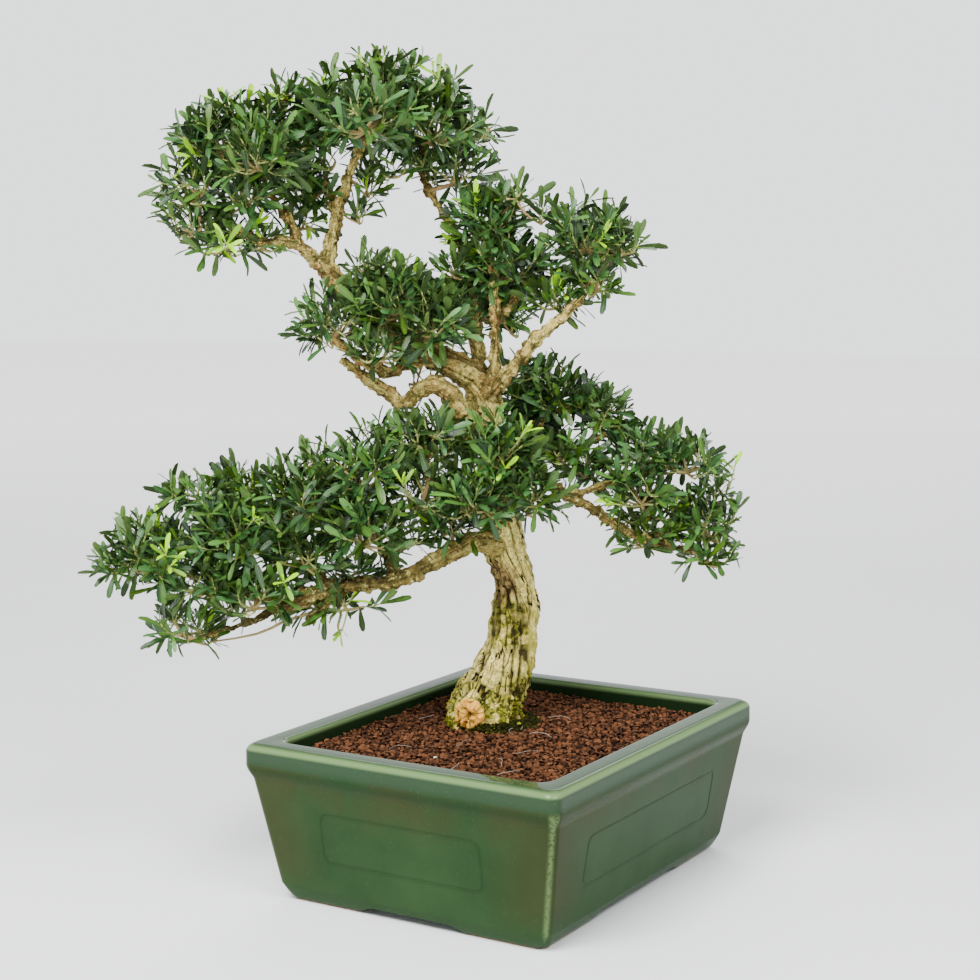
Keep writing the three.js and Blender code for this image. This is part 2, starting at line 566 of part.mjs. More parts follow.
// Where shoots stand on a head's lobes: spread evenly by the golden angle from the top down to
// just under the middle, and left out where their tips would be inside another lobe
function shootPlaces(lobes, random) {
  const places = [];
  lobes.forEach(([x, y, z, ...radii], own) => {
    const middle = new THREE.Vector3(x, y, z);
    const area = 2 * Math.PI * (1 - LOWEST_SHOOT) * ((radii[0] + radii[1] + radii[2]) / 3) ** 2;
    const count = Math.max(LEAST_SHOOTS, Math.round(area / LOBE_AREA_PER_SHOOT));
    const start = random() * 2 * Math.PI;
    for (let turn = 0; turn < count; turn++) {
      const height = 1 - (1 - LOWEST_SHOOT) * (turn + 0.5) / count;
      const angle = start + turn * Math.PI * (3 - Math.sqrt(5));
      const level = Math.sqrt(1 - height * height);
      const surface = new THREE.Vector3(level * Math.cos(angle), level * Math.sin(angle), height)
        .multiply(new THREE.Vector3(...radii));
      const along = surface.clone().normalize();
      const tip = surface.clone().add(middle);
      const [across, away, up] = radii.map(coreRadius);
      const rootDepth = ROOT_DEPTH_SHARE / Math.hypot(along.x / across, along.y / away, along.z / up);
      const root = middle.clone().addScaledVector(along, rootDepth);
      const length = Math.max(SHORTEST_SHOOT, surface.length() - WHORL_DEPTH - rootDepth);
      const buried = lobes.some(([lx, ly, lz, la, lw, lu], other) => other !== own
        && Math.hypot((tip.x - lx) / la, (tip.y - ly) / lw, (tip.z - lz) / lu) < BURIED_SHARE);
      if (!buried) places.push({ root, along, length });
    }
  });
  return places;
}

const treeFrame = new THREE.Group();
treeFrame.position.set(TREE_X, TREE_Y, 0);
treeFrame.rotation.z = TREE_TURN;

// Each head: its cores cut clear of the limbs and of other heads, with its shoots joined on.
// A shoot that would touch a limb or another head is turned, and left out if no turn is clear.
function buildFoliage(wood, woodGrown) {
  const names = Object.keys(HEADS);
  const cores = names.map((name, order) => headCore(HEADS[name], SEED + order, 0));
  const grownCores = names.map((name, order) => headCore(HEADS[name], SEED + order, GAP));
  const finished = [];
  return names.map((name, order) => {
    const random = randomSource(SEED * 3 + order);
    let head = cores[order].subtract(woodGrown);
    for (const core of grownCores.slice(0, order)) head = head.subtract(core);
    const neighbours = [wood, ...finished, ...cores.slice(order + 1)];
    const shoots = [];
    for (const { root, along, length } of shootPlaces(HEADS[name], random)) {
      const size = THREE.MathUtils.lerp(...LEAF_SIZES, random());
      const lean = new THREE.Vector3(random() - 0.5, random() - 0.5, random() * UPWARD_LEAN);
      const towards = along.clone().addScaledVector(lean, SHOOT_LEAN).normalize();
      for (let attempt = 0; attempt < SHOOT_TRIES; attempt++) {
        const spin = random() * 2 * Math.PI;
        const guard = shoot(root, towards, length, spin, size, GAP);
        const crowded = attempt + 1 < SHOOT_TRIES
          && shoots.some((other) => !other.intersect(guard).isEmpty());
        if (!crowded && neighbours.every((other) => other.intersect(guard).isEmpty())) {
          shoots.push(shoot(root, towards, length, spin, size, 0));
          break;
        }
      }
    }
    head = union([head, ...shoots]);
    finished.push(head);
    return node(name, largestBody(head), material(0x2f5d2c, 0.45));
  });
}

const glaze = material(0x4b7850, 0.2);
const bonsai = new THREE.Group();
bonsai.add(node('pot', buildPot(), glaze));
bonsai.add(node('drain_mesh_front', buildDrainMesh(-1), material(0x1d1f1e, 0.6)));
bonsai.add(node('drain_mesh_back', buildDrainMesh(1), material(0x1d1f1e, 0.6)));
bonsai.add(node('soil', buildSoil(), material(0x50302a, 0.95)));
treeFrame.add(node('wood', largestBody(buildWood(0)), material(0xb5a783, 0.85)));
treeFrame.add(...buildFoliage(buildWood(0), buildWood(GAP)));
bonsai.add(treeFrame);

// The origin is the middle of the whole bonsai's footprint, on the surface it stands on
bonsai.updateMatrixWorld(true);
const extent = new THREE.Box3().setFromObject(bonsai, true);
const middle = extent.getCenter(new THREE.Vector3());
bonsai.position.set(-middle.x, -middle.y, 0);

export default bonsai;
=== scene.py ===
# A boxwood bonsai in a green glazed pot: the looks of each piece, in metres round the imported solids.
import math
import random

import bmesh
import bpy
from mathutils import Matrix, Vector, noise
from mathutils.kdtree import KDTree


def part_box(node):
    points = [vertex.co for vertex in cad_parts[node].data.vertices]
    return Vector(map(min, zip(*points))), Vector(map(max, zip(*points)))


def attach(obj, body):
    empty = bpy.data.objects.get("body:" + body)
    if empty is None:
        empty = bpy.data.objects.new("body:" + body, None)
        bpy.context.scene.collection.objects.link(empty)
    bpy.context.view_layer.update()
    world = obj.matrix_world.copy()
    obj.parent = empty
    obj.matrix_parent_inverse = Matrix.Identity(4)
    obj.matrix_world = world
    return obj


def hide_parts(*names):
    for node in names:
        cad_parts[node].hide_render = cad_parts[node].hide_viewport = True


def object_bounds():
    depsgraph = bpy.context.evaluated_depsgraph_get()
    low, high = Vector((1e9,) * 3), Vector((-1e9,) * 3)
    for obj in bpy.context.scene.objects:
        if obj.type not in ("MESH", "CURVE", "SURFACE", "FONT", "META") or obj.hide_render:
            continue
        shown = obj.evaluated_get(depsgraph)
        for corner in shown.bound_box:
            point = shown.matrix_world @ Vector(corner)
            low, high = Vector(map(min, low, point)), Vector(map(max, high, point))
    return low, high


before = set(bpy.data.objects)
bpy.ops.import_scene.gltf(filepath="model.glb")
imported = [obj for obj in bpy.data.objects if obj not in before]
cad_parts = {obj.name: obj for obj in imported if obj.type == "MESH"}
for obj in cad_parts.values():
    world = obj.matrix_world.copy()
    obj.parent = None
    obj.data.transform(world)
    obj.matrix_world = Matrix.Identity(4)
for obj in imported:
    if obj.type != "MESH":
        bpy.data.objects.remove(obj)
solid_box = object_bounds()

# The pot is one piece of stoneware: sloping walls with an overhanging rounded rim, four feet with
# shallow arches between them, two drain holes and an incised panel line on each wall. It is dipped
# in a glossy green glaze that breaks pale on the edges and pools olive and brown on the walls. The
# pale edges also carry painted highlights, the olive-brown near the lower corners is a painted
# reflection, and painted shade darkens the band under the rim, the long walls and the inside.
MM = 0.001
POT_LOW, POT_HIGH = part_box("pot")
POT_SHORT, POT_LONG, POT_HEIGHT = (POT_HIGH - POT_LOW) / MM
RIM_HEIGHT = 12.6
RIM_OVERHANG = 1.6
RIM_WIDTH = 16.5
RIM_ROUND = 5.2
LIP_ROUND = 2.5
WALL_TAPER = 14.3
WALL_FOOT = 2.6
WALL_FOOT_HEIGHT = 11
WALL_THICKNESS = 11
CORNER_ROUND = 7
INNER_CORNER_ROUND = 11
ROUND_STEPS = 6
CORNER_STEPS = 8
FLOOR_TOP = 13
FOOT_HEIGHT = 5
ARCHES = {"short": 42, "long": 62}
ARCH_SLOPE = 17
DRAIN_RADIUS = 10
DRAIN_OFFSET = 58
PANEL_LOW = 30
PANEL_HIGH = 61
PANELS = {"short": 55, "long": 82}
PANEL_ROUND = 6
GROOVE_RADIUS = 1.9
GROOVE_OUT = 1.4
GROOVE_SIDES = 8
COVE = 10
FLOOR_ROUND = 4
EDGE_ROUND = 0.45
EDGE_ANGLE = math.radians(35)
WALL_TOP = POT_HEIGHT - RIM_HEIGHT
POT_PLACE = (Matrix.Translation(((POT_LOW.x + POT_HIGH.x) / 2, (POT_LOW.y + POT_HIGH.y) / 2, 0))
             @ Matrix.Diagonal((MM, MM, MM, 1)))


def ramp(value, low, high):
    """0 below low, 1 above high and smooth between them."""
    share = min(max((value - low) / (high - low), 0), 1)
    return share * share * (3 - 2 * share)


def shares(steps):
    """Even shares from 0 to 1, both ends among them."""
    return [step / steps for step in range(steps + 1)]


def rounded_corners(steps):
    """The sides that meet at each corner of a rectangle, and the cosine and sine of its round."""
    for quarter, (side_across, side_along) in enumerate([(1, 1), (-1, 1), (-1, -1), (1, -1)]):
        for share in shares(steps):
            angle = (quarter + share) * math.pi / 2
            yield side_across, side_along, math.cos(angle), math.sin(angle)


def pot_outline(inset, height, corner):
    """The rim's rectangle, drawn in by an inset, with rounded corners."""
    half_short = POT_SHORT / 2 - inset - corner
    half_long = POT_LONG / 2 - inset - corner
    return [Vector((side_x * half_short, side_y * half_long, height)) + corner * Vector((cosine, sine, 0))
            for side_x, side_y, cosine, sine in rounded_corners(CORNER_STEPS)]


def wall_inset(height):
    """How far the wall's outer face is in from the rim's edge."""
    return RIM_OVERHANG + WALL_TAPER * (1 - height / WALL_TOP)


def inner_inset(height):
    """How far the wall's inner face is in from the rim's edge."""
    foot = wall_inset(FLOOR_TOP) + WALL_THICKNESS
    return foot + (RIM_WIDTH - foot) * (height - FLOOR_TOP) / (POT_HEIGHT - FLOOR_TOP)


def raise_ring(bm, ring, places):
    """Extrudes an open ring of vertices and moves the new ring to its places."""
    edges = [bm.edges.get((ring[order - 1], vert)) for order, vert in enumerate(ring)]
    made = bmesh.ops.extrude_edge_only(bm, edges=edges)["geom"]
    new = {vert for vert in made if isinstance(vert, bmesh.types.BMVert)}
    above = []
    for vert in ring:
        above.append(next(edge.other_vert(vert) for edge in vert.link_edges
                          if edge.other_vert(vert) in new))
    for vert, place in zip(above, places):
        vert.co = place
    return above


def loft(bm, outlines, closed_tip=False):
    """A closed skin over outlines of equally many places, from a circle raised ring by ring."""
    ring = bmesh.ops.create_circle(bm, segments=len(outlines[0]), radius=1)["verts"]
    for vert, place in zip(ring, outlines[0]):
        vert.co = place
    bmesh.ops.contextual_create(bm, geom=ring)
    for places in outlines[1:]:
        ring = raise_ring(bm, ring, places)
    if closed_tip:
        bmesh.ops.pointmerge(bm, verts=ring, merge_co=sum(outlines[-1], Vector()) / len(ring))
    else:
        bmesh.ops.contextual_create(bm, geom=ring)


def finished(name, bm, place, sharp_angle=40):
    """A mesh object of the bmesh, in place, with smooth faces and its sharp edges kept."""
    bmesh.ops.transform(bm, matrix=place, verts=bm.verts)
    for face in bm.faces:
        face.smooth = True
    for edge in bm.edges:
        edge.smooth = edge.smooth and edge.calc_face_angle(0) < math.radians(sharp_angle)
    mesh = bpy.data.meshes.new(name)
    bm.to_mesh(mesh)
    bm.free()
    piece = bpy.data.objects.new(name, mesh)
    bpy.context.scene.collection.objects.link(piece)
    return piece


def baked(piece):
    """Applies the piece's modifiers to its mesh."""
    bpy.context.view_layer.update()
    shown = piece.evaluated_get(bpy.context.evaluated_depsgraph_get())
    mesh = bpy.data.meshes.new_from_object(shown)
    piece.modifiers.clear()
    piece.data = mesh


def cut_away(piece, bm, place):
    """Cuts the bmesh's closed shape out of the piece."""
    bmesh.ops.recalc_face_normals(bm, faces=bm.faces)
    cutter = finished(piece.name + "_cutter", bm, place)
    knife = piece.modifiers.new("Cut", "BOOLEAN")
    knife.object = cutter
    knife.solver = "EXACT"
    baked(piece)
    bpy.data.objects.remove(cutter)


def dress(piece, finish, replaced=()):
    """Gives a piece its material, hangs it on the root body and hides the solids it replaces."""
    piece.data.materials.clear()
    piece.data.materials.append(finish.material)
    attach(piece, "root")
    if replaced:
        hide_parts(*replaced)


def arch_outline(half_span, across):
    """The arch's section: an S-shaped rise, the flat of the arch and the same slope down."""
    rise = [(-half_span + ARCH_SLOPE * share, FOOT_HEIGHT * ramp(share, 0, 1)) for share in shares(8)]
    section = rise + [(-x, lift) for x, lift in reversed(rise)]
    section = [(-half_span, -2)] + section + [(half_span, -2)]
    return [Vector((x, across, height)) for x, height in section]


def panel_path(half_width):
    """The centre line of a panel's groove, upright in the XZ plane round the panel's middle."""
    half_height = (PANEL_HIGH - PANEL_LOW) / 2
    return [Vector((side_x * (half_width - PANEL_ROUND) + PANEL_ROUND * cosine, 0,
                    side_z * (half_height - PANEL_ROUND) + PANEL_ROUND * sine))
            for side_x, side_z, cosine, sine in rounded_corners(ROUND_STEPS)]


def groove(half_width):
    """A round bar bent along the panel's outline, to be cut from the wall."""
    path = panel_path(half_width)
    outward = Vector((0, 1, 0))
    turns = [corner * math.tau / GROOVE_SIDES for corner in range(GROOVE_SIDES)]
    bars = []
    for order, spot in enumerate(path):
        along = (path[(order + 1) % len(path)] - path[order - 1]).normalized()
        across = along.cross(outward)
        bars.append([spot + GROOVE_RADIUS * (math.cos(turn) * across + math.sin(turn) * outward)
                     for turn in turns])
    bm = bmesh.new()
    ring = bmesh.ops.create_circle(bm, segments=GROOVE_SIDES, radius=1)["verts"]
    for vert, spot in zip(ring, bars[0]):
        vert.co = spot
    for bar in bars[1:] + bars[:1]:
        ring = raise_ring(bm, ring, bar)
    bmesh.ops.remove_doubles(bm, verts=bm.verts, dist=0.001)
    return bm


bm = bmesh.new()
levels = []
for share in shares(ROUND_STEPS):
    height = share * WALL_FOOT_HEIGHT
    curl = 1 - math.sqrt(1 - (1 - share) ** 2)
    levels.append((wall_inset(height) + WALL_FOOT * (1 - share + curl), height, CORNER_ROUND))
for share in shares(CORNER_STEPS):
    height = WALL_TOP - COVE + COVE * share
    levels.append(((1 - ramp(share, 0, 1)) * wall_inset(height), height, CORNER_ROUND))
for share in shares(ROUND_STEPS):
    angle = share * math.pi / 2
    levels.append((RIM_ROUND * (1 - math.cos(angle)), POT_HEIGHT - RIM_ROUND * (1 - math.sin(angle)),
                   CORNER_ROUND))
for share in shares(4):
    angle = share * math.pi / 2
    levels.append((inner_inset(POT_HEIGHT) - LIP_ROUND * (1 - math.sin(angle)),
                   POT_HEIGHT - LIP_ROUND * (1 - math.cos(angle)), INNER_CORNER_ROUND))
levels.append((inner_inset(FLOOR_TOP + FLOOR_ROUND), FLOOR_TOP + FLOOR_ROUND, INNER_CORNER_ROUND))
levels.append((inner_inset(FLOOR_TOP) + FLOOR_ROUND, FLOOR_TOP, INNER_CORNER_ROUND))
loft(bm, [pot_outline(*level) for level in levels])
bmesh.ops.recalc_face_normals(bm, faces=bm.faces)
pot = finished("glazed_pot", bm, Matrix())
for side, quarter_turn, reach in [("short", 0, POT_LONG), ("long", 1, POT_SHORT)]:
    bm = bmesh.new()
    loft(bm, [arch_outline(ARCHES[side], -reach), arch_outline(ARCHES[side], reach)])
    cut_away(pot, bm, Matrix.Rotation(quarter_turn * math.pi / 2, 4, "Z"))
for side in (-1, 1):
    bm = bmesh.new()
    bmesh.ops.create_cone(bm, cap_ends=True, segments=32, radius1=DRAIN_RADIUS, radius2=DRAIN_RADIUS,
                          depth=3 * FLOOR_TOP)
    cut_away(pot, bm, Matrix.Translation((0, side * DRAIN_OFFSET, 0)))
lean = math.atan(WALL_TAPER / WALL_TOP)
panel_middle = (PANEL_LOW + PANEL_HIGH) / 2
for face in range(4):
    side, half_pot = (("short", POT_LONG / 2), ("long", POT_SHORT / 2))[face % 2]
    stand = Matrix.Translation((0, -(half_pot - wall_inset(panel_middle)) - GROOVE_OUT, panel_middle))
    cut_away(pot, groove(PANELS[side]), Matrix.Rotation(face * math.pi / 2, 4, "Z") @ stand
             @ Matrix.Rotation(lean, 4, "X"))
soften = pot.modifiers.new("Soften", "BEVEL")
soften.limit_method = "ANGLE"
soften.angle_limit = EDGE_ANGLE
soften.width = EDGE_ROUND
soften.segments = 2
baked(pot)
bm = bmesh.new()
bm.from_mesh(pot.data)
bpy.data.objects.remove(pot)
pot = finished("glazed_pot", bm, POT_PLACE)
weigh = pot.modifiers.new("Weigh", "WEIGHTED_NORMAL")
weigh.keep_sharp = True
baked(pot)


class Field:
    """One output of a material's nodes, so that arithmetic on it reads as plain maths."""

    def __init__(self, finish, socket):
        self.finish = finish
        self.socket = socket

    def __add__(self, other):
        return self.finish.maths("ADD", self, other)

    def __sub__(self, other):
        return self.finish.maths("SUBTRACT", self, other)

    def __rsub__(self, other):
        return self.finish.maths("SUBTRACT", other, self)

    def __mul__(self, other):
        return self.finish.maths("MULTIPLY", self, other)

    def __abs__(self):
        return self.finish.maths("ABSOLUTE", self)

    __radd__ = __add__
    __rmul__ = __mul__


class Finish:
    """A procedural material on one Principled shader, whose constants are set on its sockets."""

    def __init__(self, name, constants):
        self.material = bpy.data.materials.new(name)
        self.material.use_nodes = True
        self.tree = self.material.node_tree
        self.shader = self.tree.nodes["Principled BSDF"]
        for socket, value in constants.items():
            self.shader.inputs[socket].default_value = value

    def node(self, kind, settings, values, output=0):
        """One output of a new node, whose settings are set before its sockets' values and links."""
        made = self.tree.nodes.new("ShaderNode" + kind)
        for name, value in settings.items():
            setattr(made, name, value)
        for name, value in values.items():
            if isinstance(value, Field):
                self.tree.links.new(value.socket, made.inputs[name])
            else:
                made.inputs[name].default_value = value
        return Field(self, made.outputs[output])

    def maths(self, operation, *values):
        return self.node("Math", {"operation": operation}, dict(enumerate(values)))

    def mix(self, factor, first, second):
        return self.node("Mix", {"data_type": "RGBA"}, {0: factor, 6: first, 7: second}, output=2)

    def step(self, value, low, high):
        """0 where the value is at low, 1 where it is at high and smooth between them."""
        return self.node("MapRange", {"interpolation_type": "SMOOTHSTEP"},
                         {"Value": value, "From Min": low, "From Max": high})

    def place(self, centre=(0, 0, 0), scale=(1, 1, 1)):
        """Object coordinates in millimetres from a centre, given in metres."""
        spot = self.node("TexCoord", {}, {}, output="Object")
        factors = [part / MM for part in scale]
        shift = [-part * factor for part, factor in zip(centre, factors)]
        return self.node("Mapping", {}, {"Vector": spot, "Scale": factors, "Location": shift})

    def axis(self, spot, name):
        return self.node("SeparateXYZ", {}, {"Vector": spot}, output=name)

    def noise(self, spot, size, detail=3, roughness=0.5):
        """Noise whose features are about as large as size, in millimetres."""
        return self.node("TexNoise", {}, {"Vector": spot, "Scale": 1 / size, "Detail": detail,
                                          "Roughness": roughness})

    def attribute(self, name):
        return self.node("Attribute", {"attribute_name": name}, {}, output="Fac")

    def drive(self, socket, field):
        self.tree.links.new(field.socket, self.shader.inputs[socket])

    def relief(self, height, depth, strength=1):
        """Bump of a height from 0 to 1, as deep as depth in millimetres."""
        bump = self.node("Bump", {}, {"Height": height, "Distance": depth * MM, "Strength": strength})
        self.drive("Normal", bump)


def colour(red, green, blue):
    """A screen colour of 0 to 255 as the linear one that shaders take."""
    linear = [part / 255 / 12.92 if part < 11 else ((part / 255 + 0.055) / 1.055) ** 2.4
              for part in (red, green, blue)]
    return (*linear, 1)


glaze = Finish("green_glaze", {"IOR": 1.45, "Specular IOR Level": 0.03})
spot = glaze.place(centre=POT_PLACE.translation)
x, y, z = (glaze.axis(spot, name) for name in "XYZ")
shrink = WALL_TAPER / WALL_TOP * (WALL_TOP - z)
from_side = POT_SHORT / 2 - RIM_OVERHANG - shrink - abs(x)
from_end = POT_LONG / 2 - RIM_OVERHANG - shrink - abs(y)
from_corner = glaze.maths("MAXIMUM", from_side, from_end)
from_wall = glaze.maths("MINIMUM", from_side, from_end)
clouds = glaze.noise(spot, 38, detail=2)
streaks = glaze.noise(glaze.place(centre=POT_PLACE.translation, scale=(1, 1, 0.35)), 14)
specks = glaze.noise(spot, 1.6, detail=2)
green = glaze.mix(clouds, colour(29, 52, 27), colour(49, 74, 43))
below_rim = glaze.step(z, 46, 78) * glaze.step(0.5 * streaks + clouds, 0.5, 0.9)
# Olive-brown low on the walls near each corner is a painted reflection of a brown surface; under the rim
# the olive is the glaze's own clouding.
painted_corner_reflection = glaze.step(from_corner, 48, 10) * glaze.step(z, 2, 30)
olive = glaze.maths("MAXIMUM", below_rim, 0.9 * painted_corner_reflection)
body = glaze.mix(olive * 0.9, green, glaze.mix(clouds, colour(40, 48, 24), colour(56, 60, 34)))
# The pale lines on the corner edges and round the rim's top are partly glaze breaking thin over the edges
# and partly painted highlight.
edge_glaze_and_highlight = glaze.step(from_corner, 4.4, 1.6) * glaze.step(z, WALL_TOP + 2, WALL_TOP - 4)
edge_glaze_and_highlight = edge_glaze_and_highlight * glaze.step(specks + 0.3 * clouds, 0.35, 0.7)
rim_glaze_and_highlight = glaze.step(abs(z - (POT_HEIGHT - 2.2)), 2.6, 0.4)
# A darker band just under the rim's overhang: painted shade.
under_rim_shade = glaze.step(abs(z - WALL_TOP + 3), 5, 1)
body = glaze.mix(glaze.step(z, WALL_TOP - 1, WALL_TOP + 2) * 0.8, body, colour(32, 58, 35))
body = glaze.mix(under_rim_shade * 0.45, body, colour(24, 46, 22))
thin_glaze_and_highlight = glaze.maths("MAXIMUM", edge_glaze_and_highlight * 0.34, rim_glaze_and_highlight * 0.45)
body = glaze.mix(thin_glaze_and_highlight, body, colour(140, 170, 112))


def panel_distance(across, half_width):
    """How far a place on a wall is from the panel's groove."""
    over_x = abs(across) - (half_width - PANEL_ROUND)
    over_z = abs(z - panel_middle) - ((PANEL_HIGH - PANEL_LOW) / 2 - PANEL_ROUND)
    outside_x = glaze.maths("MAXIMUM", over_x, 0)
    outside_z = glaze.maths("MAXIMUM", over_z, 0)
    outside = glaze.maths("SQRT", outside_x * outside_x + outside_z * outside_z)
    within = glaze.maths("MINIMUM", glaze.maths("MAXIMUM", over_x, over_z), 0)
    return abs(outside + within - PANEL_ROUND)


on_end = glaze.step(from_end - from_side, 6, 0)
groove_line = (on_end * glaze.step(panel_distance(x, PANELS["short"]), 1.9, 0.7)
               + (1 - on_end) * glaze.step(panel_distance(y, PANELS["long"]), 1.9, 0.7))
body = glaze.mix(groove_line * 0.2, body, colour(16, 36, 16))
body = glaze.mix(glaze.step(specks, 0.62, 0.74) * 0.22, body, colour(74, 92, 54))
# The long walls are darkened below the rim: painted shade.
long_wall_shade = (1 - on_end) * glaze.step(z, WALL_TOP + 2, WALL_TOP - 6)
body = glaze.mix(long_wall_shade * 0.15, body, colour(18, 32, 12))
# The inside of the wall below the lip is darkened: painted shade inside the pot.
inner_wall_shade = glaze.step(from_wall, WALL_THICKNESS - 4, WALL_THICKNESS - 1)
inner_wall_shade = inner_wall_shade * glaze.step(z, POT_HEIGHT - 1, POT_HEIGHT - 5)
body = glaze.mix(inner_wall_shade * 0.8, body, colour(14, 28, 12))
bare_foot = glaze.step(z + 1.2 * specks, 1.7, 1.1)
body = glaze.mix(bare_foot, body, colour(142, 100, 66))
glaze.drive("Base Color", body)
glaze.drive("Roughness", 0.06 + 0.12 * clouds + 0.6 * bare_foot)
on_rim = glaze.step(z, WALL_TOP - 2, WALL_TOP + 5)
glaze.drive("Coat Weight", 0.02 + 0.03 * on_end + 0.3 * on_rim)
glaze.relief(0.7 * glaze.noise(spot, 9, detail=2) + 0.3 * specks, 0.22, 0.35)
dress(pot, glaze, ["pot"])

# Two squares of plastic mesh lie over the drain holes and keep the soil in. They are moulded in
# black plastic with a fine matte grain.
mesh_plastic = Finish("black_plastic", {"Roughness": 0.6})
grain = mesh_plastic.noise(mesh_plastic.place(), 0.8)
mesh_plastic.drive("Base Color", mesh_plastic.mix(grain, colour(22, 24, 23), colour(44, 46, 44)))
mesh_plastic.relief(grain, 0.05)
for name in ("drain_mesh_front", "drain_mesh_back"):
    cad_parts[name].material_slots[0].material = mesh_plastic.material

# The soil is baked clay granules, reddish brown and 2.5 to 4.5 mm across, heaped slightly towards the
# trunk. A bed in the granules' darkest brown, a painted shade for the gaps between them, carries the
# loose top layer, whose granules each have a tone of their own and painted shade on the sides turned
# away from the sky, and a few pale fine roots and white specks lie among them.
SOIL_TOP = 88.5
SOIL_CROWN = 2
SOIL_GAP = 0.35
SOIL_CORNER = 11.5
HEAP_REACH = 110
TREE_X = -24
TREE_Y = 18
STUMP_RADIUS = 25
GRAIN_PITCH = 3.15
GRAIN_ROW = 0.87 * GRAIN_PITCH
GRAIN_SIZES = [2.5, 2.9, 3.3, 3.8, 4.5]
GRAIN_KINDS = 6
PALE_SHARE = 0.0012
FINE_ROOTS = 14
FINE_ROOT_RADIUS = 0.17
FINE_ROOT_STEP = 2.2
FINE_ROOT_PALENESS = 0.42
SOIL_SEED = 41
soil_inset = inner_inset(SOIL_TOP) + SOIL_GAP
soil_half = Vector((POT_SHORT / 2 - soil_inset, POT_LONG / 2 - soil_inset))


def within_soil(across, along):
    """Draws a place in so that it stays inside the soil's rounded outline."""
    inner = soil_half - Vector((SOIL_CORNER, SOIL_CORNER))
    beyond = Vector((max(abs(across) - inner.x, 0), max(abs(along) - inner.y, 0)))
    if beyond.x > 0 and beyond.y > 0 and beyond.length > SOIL_CORNER:
        beyond *= SOIL_CORNER / beyond.length
    kept = Vector((min(abs(across), inner.x), min(abs(along), inner.y))) + beyond
    return Vector((math.copysign(kept.x, across), math.copysign(kept.y, along)))


def soil_height(across, along):
    """The soil's uneven surface, which rises a little towards the trunk."""
    to_trunk = math.hypot(across - TREE_X, along - TREE_Y)
    heap = SOIL_CROWN * max(0, 1 - to_trunk / HEAP_REACH)
    return SOIL_TOP - 0.6 + heap + 1.1 * noise.noise(Vector((across, along, 0)) / 17)


bm = bmesh.new()
bmesh.ops.create_grid(bm, x_segments=64, y_segments=80, size=1)
for vert in bm.verts:
    kept = within_soil(vert.co.x * soil_half.x, vert.co.y * soil_half.y)
    rough = 0.7 * noise.noise(Vector((kept.x, kept.y, 3)) / 3)
    vert.co = Vector((kept.x, kept.y, soil_height(*kept) - 0.6 + rough))
rim = [edge for edge in bm.edges if edge.is_boundary]
skirt = bmesh.ops.extrude_edge_only(bm, edges=rim)["geom"]
low = [vert for vert in skirt if isinstance(vert, bmesh.types.BMVert)]
floor_inset = inner_inset(FLOOR_TOP) + FLOOR_ROUND - inner_inset(SOIL_TOP)
draw_in = [1 - floor_inset / half for half in soil_half]
for vert in low:
    vert.co = Vector((vert.co.x * draw_in[0], vert.co.y * draw_in[1], FLOOR_TOP + 2.5))
bmesh.ops.holes_fill(bm, edges=[edge for edge in bm.edges if edge.is_boundary], sides=0)
bmesh.ops.recalc_face_normals(bm, faces=bm.faces)
soil_bed = finished("soil_bed", bm, POT_PLACE, 180)


def template(name, bm, point_values=(), sharp_angle=180):
    """A mesh that is copied many times, with room for a value of each name at every vertex."""
    piece = finished(name, bm, Matrix(), sharp_angle)
    mesh = piece.data
    bpy.data.objects.remove(piece)
    for value in point_values:
        mesh.attributes.new(value, "FLOAT", "POINT")
    return mesh


def add_copy(bm, mesh, matrix, values):
    """Adds one copy of a template to the bmesh, with its own values."""
    copy = mesh.copy()
    copy.transform(matrix)
    for name, value in values.items():
        copy.attributes[name].data.foreach_set("value", [value] * len(copy.vertices))
    bm.from_mesh(copy)
    bpy.data.meshes.remove(copy)


def add_mesh(bm, part):
    """Adds a small finished bmesh to a large one, and frees it."""
    mesh = bpy.data.meshes.new("part")
    part.to_mesh(mesh)
    part.free()
    bm.from_mesh(mesh)
    bpy.data.meshes.remove(mesh)


def drop(templates):
    """Removes the templates once their copies are made."""
    for mesh in templates:
        bpy.data.meshes.remove(mesh)


def lump_template(name, point_values, kind, depth, pitch, shift):
    """A ball one unit across that noise makes uneven, in a form of its own for each kind."""
    bm = bmesh.new()
    bmesh.ops.create_icosphere(bm, subdivisions=1, radius=0.5)
    for vert in bm.verts:
        vert.co *= 1 + depth * noise.noise(vert.co * pitch + Vector((kind * shift, 0, 0)))
    return template(name, bm, point_values)


draw = random.Random(SOIL_SEED)
grains = [lump_template("grain", ["tone", "pale"], kind, 0.5, 2.3, 7.1) for kind in range(GRAIN_KINDS)]
bm = bmesh.new()
rows = int(2 * soil_half.y / GRAIN_ROW) + 1
columns = int(2 * soil_half.x / GRAIN_PITCH) + 1
for row in range(rows):
    for column in range(columns):
        shift = 0.5 * (row % 2) * GRAIN_PITCH
        across = -soil_half.x + column * GRAIN_PITCH + shift + draw.uniform(-1, 1)
        along = -soil_half.y + row * GRAIN_ROW + draw.uniform(-1, 1)
        size = draw.choice(GRAIN_SIZES)
        if math.hypot(across - TREE_X, along - TREE_Y) < STUMP_RADIUS - 4:
            continue
        kept = within_soil(math.copysign(min(abs(across), soil_half.x - size / 2), across),
                           math.copysign(min(abs(along), soil_half.y - size / 2), along))
        height = soil_height(*kept) + draw.uniform(-0.9, 0.9)
        pale = draw.random() < PALE_SHARE
        size *= 0.7 if pale else 1
        spin = Matrix.Rotation(draw.uniform(0, math.tau), 4, draw.choice("XYZ"))
        spin = Matrix.Rotation(draw.uniform(0, math.tau), 4, "Z") @ spin
        shape = Matrix.Diagonal((size, size * draw.uniform(0.8, 1.1), size * draw.uniform(0.7, 1), 1))
        add_copy(bm, draw.choice(grains), Matrix.Translation((kept.x, kept.y, height)) @ spin @ shape,
                 {"tone": draw.random(), "pale": float(pale)})
drop(grains)
upright = Vector((0, 0, 1))
